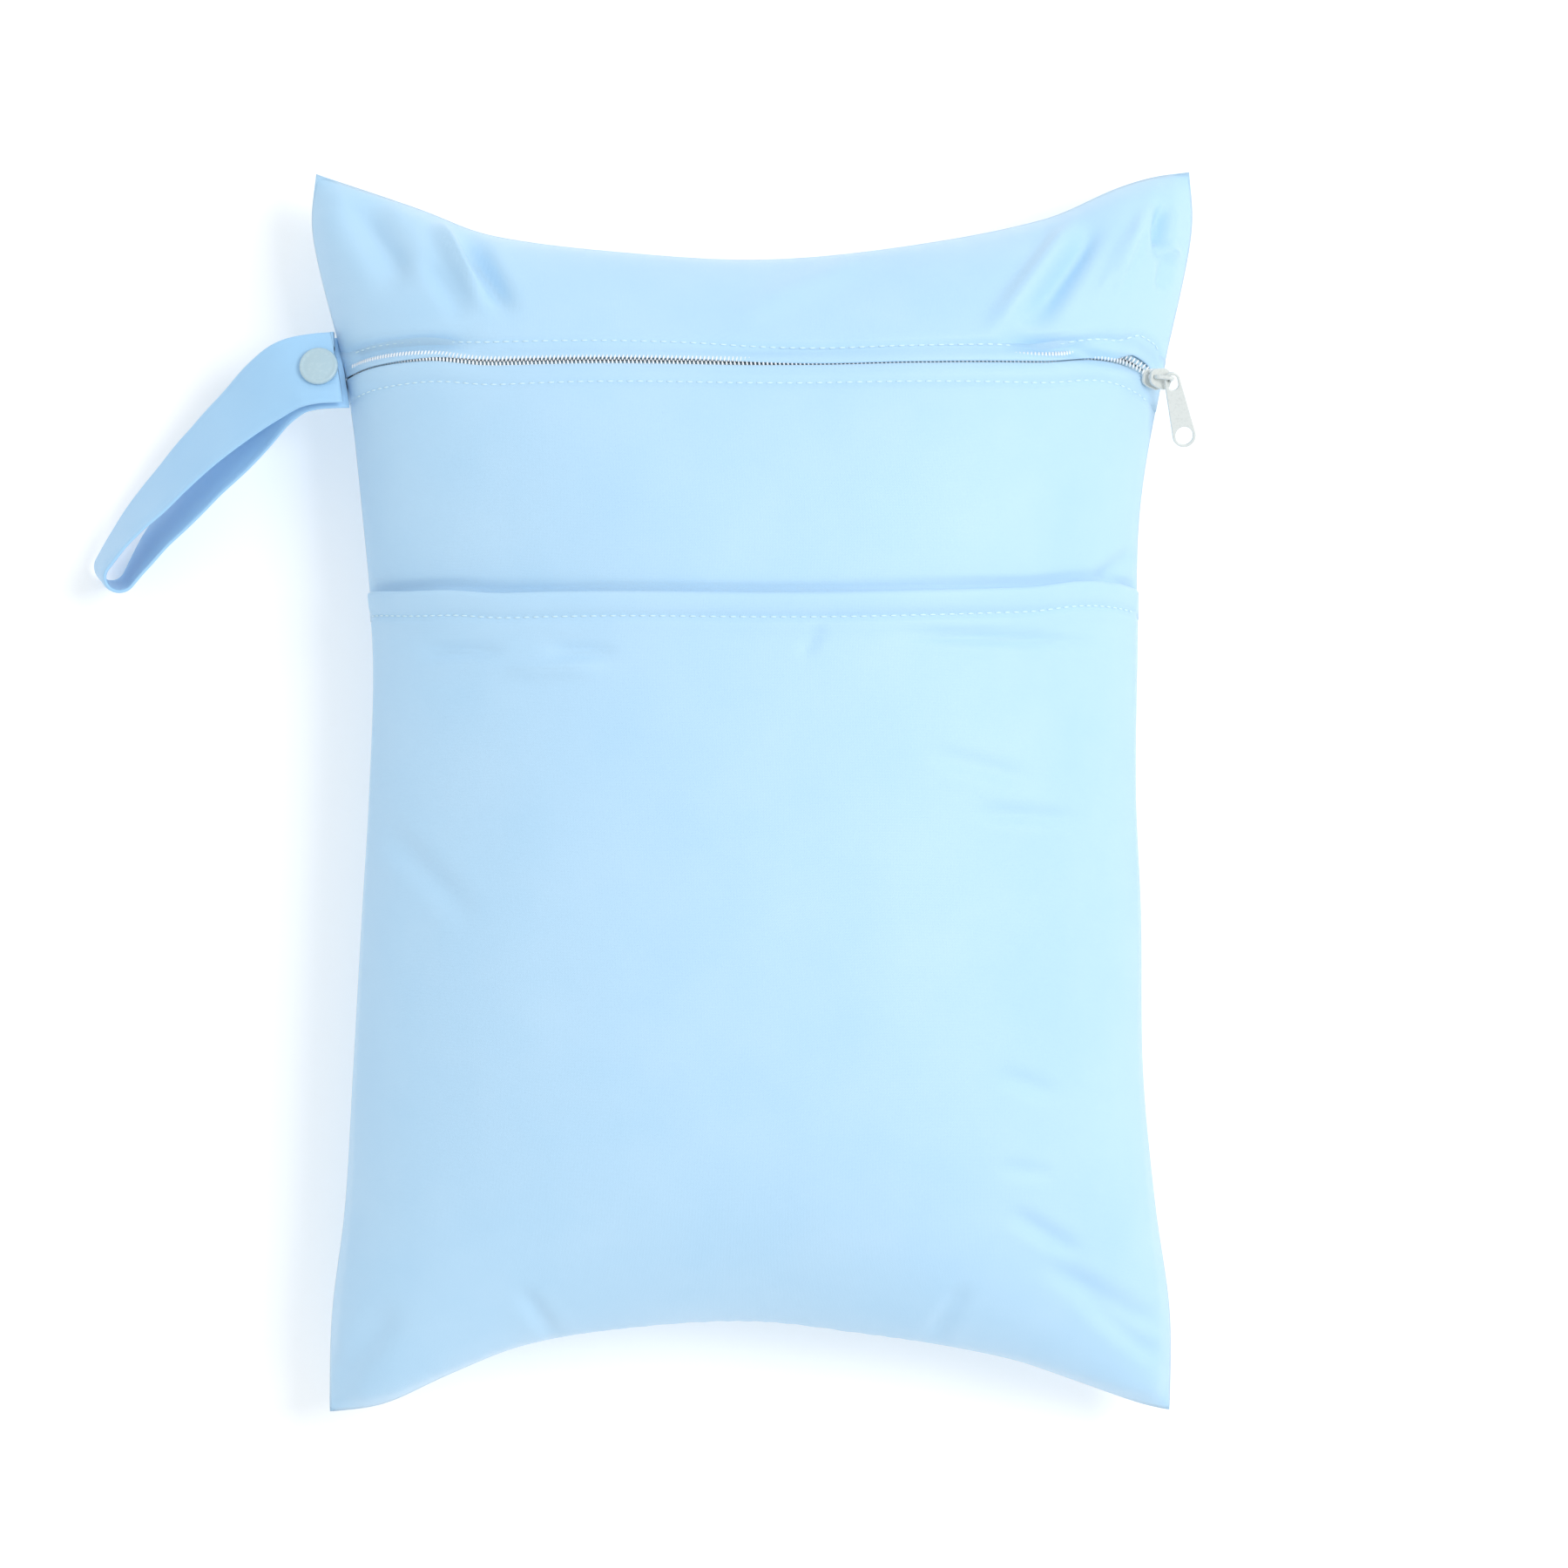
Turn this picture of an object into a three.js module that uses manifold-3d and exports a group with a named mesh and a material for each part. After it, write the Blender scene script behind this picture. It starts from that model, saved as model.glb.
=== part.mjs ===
// A cloth wet bag with a top zipper, an open front pocket and a snap-closed hanging strap.
// Millimetres. The bag lies on its back: +Z is up, +Y points to the end with the zipper,
// +X to the end where the zipper closes, and the origin is on the flat rest patch of the back.

import * as THREE from 'three';
import { mergeVertices } from 'three/addons/utils/BufferGeometryUtils.js';
import Module from 'manifold-3d';

const wasm = await Module();
wasm.setup();

// Bag body
const cornerSpan = 282; // left corner to right corner
const cornerRise = 400; // bottom corner to top corner
const seamHeight = 38; // side seam above the surface that the bag lies on
const cornerDroop = 7; // how much lower the seam is at the corners
const frontCrown = 50; // front skin above the seam, at its middle
const clothWall = 1.2;
const seat = 0.3; // clearance between touching pieces
const foldDepth = 4; // depth of the deepest fold

// Front openings, measured along the cloth from the middle of the bag
const zipperRiseLeft = cornerRise * 0.3375; // zipper line at the left side seam
const zipperRiseRight = cornerRise * 0.33; // and at the right one
const zipperArch = 6; // how much higher the zipper line is at the middle
const hemRise = cornerRise * 0.16; // pocket hem at the side seams
const hemSag = 3; // how much lower the hem is at the middle
const hemBand = 8; // folded band at the pocket's mouth
const hemSwell = 0.8; // what the fold adds to the thickness

// Zipper
const coilWidth = 4;
const coilThick = 1.6;
const tapeWidth = 13;
const tapeThick = 0.8;
const tapeSeat = 0.7; // clearance between the tape and the gathered cloth over it
const tapeInset = 3; // tape ends short of the side seam
const flapCover = 1.5; // how far the flap comes down past the coil's middle
const flapLift = 1.9; // how far the flap draws back where the coil shows
const lipDrop = 2.4; // lower lip below the coil's middle
const mouthOpen = 4.8; // half opening of the cloth at the slider

// Slider and bail, placed from the right end of the zipper line
const sliderLength = 9;
const sliderWidth = 7;
const sliderWall = 1.1;
const sliderSlot = 2.3; // inside height of the channel
const sliderTilt = 40; // degrees below level, outwards
const sliderTurn = -6; // degrees from +X towards +Y
const sliderOut = -2.8; // centre past the side seam
const sliderUp = 12.4; // centre above the side seam
const bailRod = 1.3;
const bailGap = 3.5; // bail rod's middle above the slider's plate
const bailInner = -2.6; // outside of the inner leg, from the slider's middle
const bailOuter = 3.8; // outside of the outer leg, which the pull hangs on

// Pull
const pullLength = 24.6;
const pullThick = 1.2;
const pullTopWidth = 5;
const pullTipWidth = 7.5;
const eyeWidth = 3.4;
const eyeLength = 4.8;
const tipHole = 5.6;
const pullRim = 1;
const pullDroop = 14; // degrees below level
const pullTurn = -76; // degrees from +X
const pullLift = 1.35; // pull's middle on the leg, above the slider's plate

// Hanging strap
const strapWidth = 24;
const strapThick = 1.6;
const strapReach = 85; // side seam to the far end, along -X
const strapFall = 64; // sewn end to the far end, along -Y
const strapOpen = 10; // between the middles of the two layers of the loop
const strapSeat = cornerRise * 0.34; // where the strap is sewn, up from the middle of the bag
const frontEndGap = 1.5; // free end of the front layer to the side seam

// Press snap
const capDiameter = 12.4;
const capThick = 1.7;
const capSeat = 0.5; // clearance of the flat caps on the bent cloth
const socketDiameter = 9;
const socketThick = 1.7;
const socketWeb = 0.4; // floor between the prong and the stud
const prongPast = 0.3; // prong's end past the cloth
const studDiameter = 9;
const studThick = 0.8;
const prongDiameter = 2.6;
const prongHole = 3.2;
const nubDiameter = 3.8;
const nubHeight = 0.8;
const snapEase = 0.4; // broken edges of the snap's parts
const domeOut = 0.86; // share of the radius where the cap's dome bends
const domeUp = 0.8; // its share of the cap's height there
const domeFlat = 0.5; // share of the radius that lies at full height
const nubFull = 0.7; // share of the nub's height where it is widest
const snapPlace = 7.5; // snap's middle to the side seam

// Shares of half the corner span (left, right) at shares of half the corner rise (up)
const sideEdges = [
  { up: -1.0, left: -0.967, right: 0.957 },
  { up: -0.84, left: -0.959, right: 0.955 },
  { up: -0.67, left: -0.928, right: 0.921 },
  { up: -0.45, left: -0.908, right: 0.891 },
  { up: -0.2, left: -0.887, right: 0.886 },
  { up: 0.0, left: -0.87, right: 0.874 },
  { up: 0.22, left: -0.862, right: 0.878 },
  { up: 0.45, left: -0.889, right: 0.886 },
  { up: 0.67, left: -0.928, right: 0.939 },
  { up: 0.84, left: -0.989, right: 0.993 },
  { up: 0.92, left: -1.009, right: 1.01 },
  { up: 1.0, left: -0.999, right: 1.003 },
];

// Shares of half the corner rise (y) at shares of the half width (across)
const topEdge = [
  { across: -1.0, y: 1.0 },
  { across: -0.76, y: 0.941 },
  { across: -0.6, y: 0.898 },
  { across: -0.28, y: 0.868 },
  { across: 0.03, y: 0.857 },
  { across: 0.35, y: 0.879 },
  { across: 0.67, y: 0.925 },
  { across: 0.83, y: 0.975 },
  { across: 0.92, y: 0.995 },
  { across: 1.0, y: 1.003 },
];

const bottomEdge = [
  { across: -1.0, y: -1.0 },
  { across: -0.87, y: -0.985 },
  { across: -0.72, y: -0.938 },
  { across: -0.54, y: -0.889 },
  { across: -0.3, y: -0.86 },
  { across: 0.0, y: -0.847 },
  { across: 0.28, y: -0.868 },
  { across: 0.61, y: -0.909 },
  { across: 0.78, y: -0.948 },
  { across: 0.93, y: -0.985 },
  { across: 1.0, y: -0.997 },
];

// Folds of the front: place and size as shares of half the corner span and rise, turn in
// degrees from +X, depth as a share of the deepest fold (negative stands up)
const frontFolds = [
  { across: -0.73, up: 0.83, turn: -58, long: 0.17, wide: 0.07, deep: 1.0 },
  { across: -0.9, up: 0.86, turn: -64, long: 0.16, wide: 0.09, deep: 0.8 },
  { across: -0.78, up: 0.76, turn: 8, long: 0.22, wide: 0.08, deep: 0.35 },
  { across: 0.73, up: 0.8, turn: 52, long: 0.26, wide: 0.08, deep: 0.9 },
  { across: 0.88, up: 0.88, turn: 68, long: 0.16, wide: 0.07, deep: 1.0 },
  { across: 0.78, up: 0.76, turn: -6, long: 0.3, wide: 0.08, deep: 0.5 },
  { across: -0.55, up: 0.24, turn: -4, long: 0.2, wide: 0.05, deep: 0.6 },
  { across: 0.62, up: 0.24, turn: 3, long: 0.28, wide: 0.05, deep: 0.5 },
  { across: 0.6, up: 0.02, turn: 14, long: 0.18, wide: 0.06, deep: 0.5 },
  { across: -0.84, up: -0.2, turn: -38, long: 0.24, wide: 0.08, deep: 0.6 },
  { across: 0.75, up: -0.55, turn: -25, long: 0.2, wide: 0.07, deep: 0.5 },
  { across: 0.85, up: -0.82, turn: -40, long: 0.26, wide: 0.07, deep: 0.9 },
  { across: -0.84, up: -0.84, turn: 42, long: 0.26, wide: 0.08, deep: 0.8 },
  { across: 0.2, up: -0.83, turn: 62, long: 0.14, wide: 0.08, deep: 0.6 },
  { across: -0.3, up: -0.84, turn: 118, long: 0.14, wide: 0.08, deep: 0.6 },
];

// Folds of the back, in the same columns
const backFolds = [
  { across: -0.84, up: 0.84, turn: -42, long: 0.24, wide: 0.08, deep: 0.9 },
  { across: 0.84, up: 0.84, turn: 42, long: 0.24, wide: 0.08, deep: 0.9 },
  { across: -0.84, up: -0.84, turn: 42, long: 0.24, wide: 0.08, deep: 0.9 },
  { across: 0.84, up: -0.84, turn: -42, long: 0.24, wide: 0.08, deep: 0.9 },
];

// Middle line of the strap's front layer: shares of the strap's reach and fall, of the way
// from lying on the surface (0) to its sewn end (1), the tilt of its face in degrees, and the
// share of the way from the snapped gap between the layers (0) to the open loop (1)
const strapRoute = [
  { out: 0.0, fall: -0.01, height: 1.0, tilt: 15, open: 0.0 },
  { out: 0.1, fall: 0.0, height: 1.0, tilt: 15, open: 0.0 },
  { out: 0.19, fall: 0.03, height: 0.98, tilt: 15, open: 0.0 },
  { out: 0.28, fall: 0.1, height: 0.87, tilt: 24, open: 0.12 },
  { out: 0.38, fall: 0.2, height: 0.68, tilt: 35, open: 0.7 },
  { out: 0.49, fall: 0.32, height: 0.5, tilt: 43, open: 1.0 },
  { out: 0.6, fall: 0.45, height: 0.35, tilt: 49, open: 1.0 },
  { out: 0.71, fall: 0.6, height: 0.22, tilt: 54, open: 1.0 },
  { out: 0.81, fall: 0.73, height: 0.12, tilt: 60, open: 1.0 },
  { out: 0.88, fall: 0.84, height: 0.05, tilt: 65, open: 1.0 },
  { out: 0.94, fall: 0.95, height: 0.0, tilt: 69, open: 1.0 },
];

const clothBlue = new THREE.MeshStandardMaterial({ color: 0xbfe6fa, roughness: 0.8, metalness: 0 });
const strapBlue = new THREE.MeshStandardMaterial({ color: 0xabd5f0, roughness: 0.85, metalness: 0 });
const tapeBlue = new THREE.MeshStandardMaterial({ color: 0xc4e3f4, roughness: 0.9, metalness: 0 });
const coilWhite = new THREE.MeshStandardMaterial({ color: 0xe4eef4, roughness: 0.5, metalness: 0 });
const pullWhite = new THREE.MeshStandardMaterial({ color: 0xe6ebea, roughness: 0.35, metalness: 0.6 });
const snapBlue = new THREE.MeshStandardMaterial({ color: 0x92bcd5, roughness: 0.35, metalness: 0 });

const halfSpan = cornerSpan / 2;
const halfRise = cornerRise / 2;
const degree = Math.PI / 180;
const clamp = THREE.MathUtils.clamp;
const lerp = THREE.MathUtils.lerp;

// A smooth curve through one column of a table
function along(table, key, column, at) {
  let i = 0;
  while (i < table.length - 2 && at > table[i + 1][key]) i += 1;
  const slope = (j) => {
    const a = table[Math.max(j - 1, 0)];
    const b = table[Math.min(j + 1, table.length - 1)];
    return (b[column] - a[column]) / (b[key] - a[key]);
  };
  const step = table[i + 1][key] - table[i][key];
  const t = clamp((at - table[i][key]) / step, 0, 1);
  const rest = 1 - t;
  return (
    table[i][column] * (1 + 2 * t) * rest * rest +
    table[i + 1][column] * t * t * (3 - 2 * t) +
    step * t * rest * (slope(i) * rest - slope(i + 1) * t)
  );
}

// Plan of the bag: the four edges joined across, u and v from -1 to 1
function plan(u, v) {
  const a = (u + 1) / 2;
  const b = (v + 1) / 2;
  const first = sideEdges[0];
  const last = sideEdges[sideEdges.length - 1];
  const bottom = along(bottomEdge, 'across', 'y', u);
  const top = along(topEdge, 'across', 'y', u);
  const x = lerp(along(sideEdges, 'up', 'left', v), along(sideEdges, 'up', 'right', v), a);
  const ends = lerp(lerp(first.left, first.right, a), lerp(last.left, last.right, a), b);
  const straight = lerp(lerp(first.left, last.left, b), lerp(first.right, last.right, b), a);
  return { x: (x + ends - straight) * halfSpan, y: lerp(bottom, top, b) * halfRise };
}

// The cloth is fuller in plan than its outline: rows and columns draw in where it bulges
const drawAcross = 0.2;
const drawUp = 0.17;

function drawn(u, v) {
  return {
    su: u + drawAcross * (1 - v * v) * (u - u ** 5),
    sv: v + drawUp * (1 - u * u) * (v - v ** 5),
  };
}

// Share of the full bulge: steep at the seams, and fuller towards the corners
const sideSteep = 0.7;
const endSteep = 0.56;
const cornerFull = 1.8;

function swell(su, sv, sidePower, endPower) {
  const a = Math.max(0, 1 - Math.abs(su) ** sidePower) ** sideSteep;
  const b = Math.max(0, 1 - Math.abs(sv) ** endPower) ** endSteep;
  return a * b * (1 + cornerFull * (1 - a) * (1 - b));
}

function seamAt(su, sv) {
  return seamHeight - cornerDroop * (su * sv) ** 2;
}

const frontRound = 2.4; // how flat the front is across, and the back
const backRound = 2.6;
const endRound = 4; // how flat both are up the bag
const restSpread = 1.07; // over 1, the back lies flat where it has swelled this share
const backSteep = 1.25;

function skin(u, v, front) {
  const { su, sv } = drawn(u, v);
  const place = plan(su, sv);
  const seam = seamAt(su, sv);
  const lift = front
    ? seam + frontCrown * swell(su, sv, frontRound, endRound)
    : seam * Math.max(0, 1 - restSpread * swell(su, sv, backRound, endRound)) ** backSteep;
  return new THREE.Vector3(place.x, place.y, lift);
}

// How far the folds push a point of the skin inwards
function foldAt(point, folds) {
  let sum = 0;
  for (const fold of folds) {
    const dx = point.x / halfSpan - fold.across;
    const dy = (point.y / halfRise - fold.up) * (halfRise / halfSpan);
    const turn = fold.turn * degree;
    const run = (dx * Math.cos(turn) + dy * Math.sin(turn)) / fold.long;
    const off = (dy * Math.cos(turn) - dx * Math.sin(turn)) / fold.wide;
    sum += fold.deep * foldDepth * (1 - 0.8 * off * off) * Math.exp(-off * off - run ** 4);
  }
  return sum;
}

const normalStep = 0.004;

function skinNormal(u, v, front) {
  const u0 = Math.max(-1, u - normalStep);
  const u1 = Math.min(1, u + normalStep);
  const v0 = Math.max(-1, v - normalStep);
  const v1 = Math.min(1, v + normalStep);
  const acrossWay = skin(u1, v, front).sub(skin(u0, v, front));
  const upWay = skin(u, v1, front).sub(skin(u, v0, front));
  const normal = acrossWay.cross(upWay).normalize();
  return front ? normal : normal.negate();
}

// A point at a height over the skin, kept on its own side of the side seam. Folds start a
// twelfth of the half width in from the seam.
const foldsFromSeam = 12;

function onSkin(u, v, height, front) {
  const point = skin(u, v, front);
  const { su, sv } = drawn(u, v);
  const seam = seamAt(su, sv);
  const edge = Math.min(1, (1 - Math.max(Math.abs(su), Math.abs(sv))) * foldsFromSeam);
  const fold = foldAt(point, front ? frontFolds : backFolds) * edge;
  point.addScaledVector(skinNormal(u, v, front), height - fold);
  if (front) point.z = Math.max(point.z, seam + seat / 2);
  else point.z = clamp(point.z, 0, seam - seat / 2);
  return point;
}

// A closed slab: a box grid moved to place(across, up, through), each from 0 to 1. Both
// faces split their squares along the same diagonal, so slabs nest without crossing.
function slab(columns, rows, place, layers = 1) {
  const geometry = new THREE.BoxGeometry(1, 1, 1, columns, rows, layers);
  geometry.deleteAttribute('normal');
  geometry.deleteAttribute('uv');
  const merged = mergeVertices(geometry, 1e-5);
  const corners = merged.getIndex().array;
  for (let i = corners.length - columns * rows * 6; i < corners.length; i += 6) {
    const [a, b, d, , c] = corners.subarray(i, i + 5);
    corners.set([a, b, c, a, c, d], i);
  }
  const position = merged.getAttribute('position');
  for (let i = 0; i < position.count; i += 1) {
    const point = place(position.getX(i) + 0.5, position.getY(i) + 0.5, position.getZ(i) + 0.5);
    position.setXYZ(i, point.x, point.y, point.z);
  }
  return merged;
}

// Closer steps towards an end, or towards both
const closer = 0.35;
const easeEnd = (t) => t * (1 + closer - closer * t * t);
const easeStart = (t) => 1 - easeEnd(1 - t);
const easeBoth = (t) => easeEnd(t * 2 - 1);

const columnCount = 26;
const coilColumns = 23; // columns that the coil follows before it rises to the slider
const coilLeaves = easeBoth(coilColumns / columnCount);

// Rows of the front, as shares of half the corner rise
const hemRow = (u) => (hemRise - hemSag * (1 - u * u)) / halfRise;
const zipperRow = (u) =>
  (lerp(zipperRiseLeft, zipperRiseRight, (u + 1) / 2) + zipperArch * (1 - u * u)) / halfRise;
const smooth = THREE.MathUtils.smoothstep;
const mouthStart = coilLeaves - 0.14;
const mouthFull = coilLeaves - 0.02;
const mouthShut = 0.95;
const mouth = (u) => smooth(u, mouthStart, mouthFull) * (1 - smooth(u, mouthShut, 1));
const bareMiddle = -0.34; // middle and half width of the stretch where the coil shows
const bareHalf = 0.36;
const coilShows = (u) => Math.exp(-(((u - bareMiddle) / bareHalf) ** 4));

function flapRow(u) {
  const edge = lerp(flapLift * coilShows(u) - flapCover, mouthOpen, mouth(u));
  return zipperRow(u) + edge / halfRise;
}

function lipRow(u) {
  return zipperRow(u) - lerp(lipDrop, mouthOpen, mouth(u)) / halfRise;
}

const pocketRows = 16;
const middleRows = 8;
const topRows = 8;
const backRows = 24;
const bandShare = hemBand / (hemRise + halfRise);

function pocketRowAt(t, u) {
  const band = 1 / pocketRows;
  const inBand = 1 - bandShare * ((1 - t) / band);
  const below = easeStart(t / (1 - band)) * (1 - bandShare);
  return lerp(-1, hemRow(u), t > 1 - band ? inBand : below);
}

function backPanel() {
  return slab(columnCount, backRows, (a, b, through) =>
    onSkin(easeBoth(1 - a), easeBoth(1 - b), -clothWall * through, false),
  );
}

function pocketPanel() {
  return slab(columnCount, pocketRows, (a, b, through) => {
    const u = easeBoth(a);
    const band = b > 1 - 0.5 / pocketRows ? hemSwell : 0;
    return onSkin(u, pocketRowAt(b, u), seat + (clothWall + band) * through, true);
  });
}

const middleRowAt = (row, u) => lerp(hemRow(u), lipRow(u), row / middleRows);
const topRowAt = (row, u) => lerp(flapRow(u), 1, easeEnd(row / topRows));

function middlePanel() {
  const rows = pocketRows + middleRows;
  return slab(columnCount, rows, (a, b, through) => {
    const u = easeBoth(a);
    const row = b * rows;
    const v = row <= pocketRows ? pocketRowAt(row / pocketRows, u) : middleRowAt(row - pocketRows, u);
    return onSkin(u, v, clothWall * (through - 1), true);
  });
}

function topPanel() {
  return slab(columnCount, topRows, (a, b, through) => {
    const u = easeBoth(a);
    return onSkin(u, topRowAt(b * topRows, u), clothWall * (through - 1), true);
  });
}

const tapeDepth = clothWall + tapeSeat;
const tapeEnd = 1 - tapeInset / halfSpan;
const bendNear = 0.2; // least share of the tape's width beside its middle bend
const coilHalf = coilWidth / 2;

// A tape follows the flat faces of the panel that it is sewn to: rowAt gives that panel's
// rows, counted from the zipper, and side is 1 above the zipper and -1 below it
function tape(side, rowAt) {
  const near = (u) => coilHalf + seat + (mouthOpen - lipDrop) * mouth(u);
  const onPanel = (u, v, height) => {
    let row = 0;
    while ((v - rowAt(row + 1, u)) * side > 0) row += 1;
    const share = (v - rowAt(row, u)) / (rowAt(row + 1, u) - rowAt(row, u));
    const next = onSkin(u, rowAt(row + 1, u), height, true);
    return onSkin(u, rowAt(row, u), height, true).lerp(next, share);
  };
  return slab(columnCount, 2, (a, b, through) => {
    const u = clamp(easeBoth(a), -tapeEnd, tapeEnd);
    const place = Math.round(side > 0 ? b * 2 : 2 - b * 2);
    const nearRow = zipperRow(u) + (side * near(u)) / halfRise;
    const farRow = nearRow + (side * tapeWidth) / halfRise;
    const toBend = (rowAt(1, u) - nearRow) / (farRow - nearRow);
    const bent = lerp(nearRow, farRow, clamp(toBend, bendNear, 1 - bendNear));
    const v = [nearRow, bent, farRow][place];
    return onPanel(u, v, -tapeDepth - tapeThick * (1 - through));
  });
}

// Slider: its frame stands at the right end of the zipper line
const zipperEnd = skin(1, zipperRow(1), true);
const barTurn = sliderTurn * degree;
const barWay = new THREE.Vector3(Math.cos(barTurn), Math.sin(barTurn), 0);
const sideWay = new THREE.Vector3(-Math.sin(barTurn), Math.cos(barTurn), 0);
const upWay = new THREE.Vector3(0, 0, 1);
const sliderWay = barWay.clone().applyAxisAngle(sideWay, sliderTilt * degree);
const sliderNormal = new THREE.Vector3().crossVectors(sliderWay, sideWay);
const sliderCentre = zipperEnd
  .clone()
  .add(new THREE.Vector3(sliderOut, (sliderLength / 2) * Math.sin(barTurn), sliderUp));
const plateTop = sliderSlot / 2 + sliderWall;
const bailCentre = sliderCentre
  .clone()
  .addScaledVector(sliderNormal, plateTop)
  .addScaledVector(upWay, bailGap);

// The coil's last steps leave the cloth and run into the slider
const coilLead = 3;
const coilSteps = coilColumns + coilLead;
const leadStart = -1.1; // shares of the slider's length, from its middle
const leadEnd = -0.15;
const leadRise = 1.8; // over 1, the coil is in line with the slider before its end

function coil() {
  return slab(coilSteps, 1, (a, b, through) => {
    const step = Math.round(a * coilSteps);
    const across = (b - 0.5) * coilWidth;
    const u = Math.max(-tapeEnd, easeBoth(Math.min(step, coilColumns) / columnCount));
    const v = zipperRow(u) + across / halfRise;
    const inCloth = onSkin(u, v, -tapeDepth - coilThick * (1 - through), true);
    if (step <= coilColumns) return inCloth;
    const lead = (step - coilColumns) / coilLead;
    const reach = lerp(leadStart, leadEnd, lead) * sliderLength;
    const inSlider = sliderCentre
      .clone()
      .addScaledVector(sliderWay, reach)
      .addScaledVector(sideWay, across)
      .addScaledVector(sliderNormal, coilThick * (through - 0.5));
    return inCloth.lerp(inSlider, Math.min(1, lead * leadRise));
  });
}

// Solids joined and cut
function solidOf(geometry) {
  const plain = geometry.clone();
  plain.deleteAttribute('normal');
  plain.deleteAttribute('uv');
  const merged = mergeVertices(plain, 1e-4);
  const vertProperties = new Float32Array(merged.getAttribute('position').array);
  const triVerts = new Uint32Array(merged.getIndex().array);
  return new wasm.Manifold(new wasm.Mesh({ numProp: 3, vertProperties, triVerts }));
}

function geometryOf(solid) {
  const mesh = solid.getMesh();
  const geometry = new THREE.BufferGeometry();
  geometry.setAttribute('position', new THREE.BufferAttribute(new Float32Array(mesh.vertProperties), 3));
  geometry.setIndex(new THREE.BufferAttribute(new Uint32Array(mesh.triVerts), 1));
  return geometry;
}

function flatShape(shape, thick, curveSegments) {
  const geometry = new THREE.ExtrudeGeometry(shape, {
    depth: thick,
    bevelEnabled: false,
    curveSegments,
  });
  return geometry.translate(0, 0, -thick / 2);
}

// Slider plate: wide at the mouths and rounded at the nose, length along X
const waist = sliderWidth * 0.36; // half width at the end where the coil leaves
const shoulder = sliderLength * 0.175; // where the nose starts to round
const postOut = sliderLength * 0.28;
const postRadius = 1;
const legSink = 0.4; // share of the plate that the bail's legs go into
const bailCut = 0.45; // cut corners of the bail, as a share of its rod

function platePlan() {
  const half = sliderLength / 2;
  const side = sliderWidth / 2;
  const shape = new THREE.Shape();
  shape.moveTo(-half, -waist);
  shape.lineTo(shoulder, -side);
  shape.quadraticCurveTo(half, -side, half, 0);
  shape.quadraticCurveTo(half, side, shoulder, side);
  shape.lineTo(-half, waist);
  shape.closePath();
  return shape;
}

function sliderBody() {
  const plate = platePlan();
  const plateUp = (sliderSlot + sliderWall) / 2;
  const upper = flatShape(plate, sliderWall, 4).translate(0, 0, plateUp);
  const lower = flatShape(plate, sliderWall, 4).translate(0, 0, -plateUp);
  const post = new THREE.CylinderGeometry(postRadius, postRadius, sliderSlot + sliderWall, 10);
  post.rotateX(Math.PI / 2).translate(postOut, 0, 0);
  const local = new THREE.Matrix4()
    .makeBasis(sliderWay, sideWay, sliderNormal)
    .setPosition(sliderCentre);
  const bodyParts = [upper, lower, post].map((piece) => solidOf(piece.applyMatrix4(local)));

  // Bail: an arch along the slider, its rod level and its legs upright
  const dip = Math.tan(sliderTilt * degree);
  const plateAt = (x) => -bailGap - x * dip - sliderWall * legSink;
  const rodTop = bailRod / 2;
  const cut = bailRod * bailCut;
  const arch = new THREE.Shape();
  arch.moveTo(bailInner, plateAt(bailInner));
  arch.lineTo(bailInner, rodTop - cut);
  arch.lineTo(bailInner + cut, rodTop);
  arch.lineTo(bailOuter - cut, rodTop);
  arch.lineTo(bailOuter, rodTop - cut);
  arch.lineTo(bailOuter, plateAt(bailOuter));
  arch.lineTo(bailOuter - bailRod, plateAt(bailOuter - bailRod));
  arch.lineTo(bailOuter - bailRod, -rodTop);
  arch.lineTo(bailInner + bailRod, -rodTop);
  arch.lineTo(bailInner + bailRod, plateAt(bailInner + bailRod));
  arch.closePath();
  const bail = flatShape(arch, bailRod, 1);
  const stand = new THREE.Matrix4()
    .makeBasis(barWay, upWay, sideWay.clone().negate())
    .setPosition(bailCentre);
  const joined = bodyParts.concat(solidOf(bail.applyMatrix4(stand)));
  return geometryOf(joined.reduce((a, b) => a.add(b)));
}

// Pull: lies along -Y of its own frame, with the bail's outer leg through its eye at the
// frame's origin. It swivels about that leg.
const eyeTop = (bailRod / 2) * Math.SQRT2 + seat;
const legMiddle = bailCentre
  .clone()
  .addScaledVector(barWay, bailOuter - bailRod / 2)
  .addScaledVector(upWay, pullLift - bailGap);

function pullPlate() {
  const eyeMiddle = eyeTop - eyeLength / 2;
  const top = eyeTop + pullRim;
  const tipRadius = pullTipWidth / 2;
  const tipMiddle = top - pullLength + tipRadius;
  const topRadius = pullTopWidth / 2;
  const shape = new THREE.Shape();
  shape.absarc(0, top - topRadius, topRadius, 0, Math.PI, false);
  shape.absarc(0, tipMiddle, tipRadius, Math.PI, Math.PI * 2, false);
  shape.closePath();
  const eye = new THREE.Path();
  const eyeRadius = eyeWidth / 2;
  eye.absarc(0, eyeTop - eyeRadius, eyeRadius, 0, Math.PI, false);
  eye.absarc(0, eyeMiddle - (eyeLength / 2 - eyeRadius), eyeRadius, Math.PI, Math.PI * 2, false);
  eye.closePath();
  const hole = new THREE.Path();
  hole.absarc(0, tipMiddle, tipHole / 2, 0, Math.PI * 2, false);
  shape.holes.push(eye, hole);
  return flatShape(shape, pullThick, 8);
}

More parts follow.
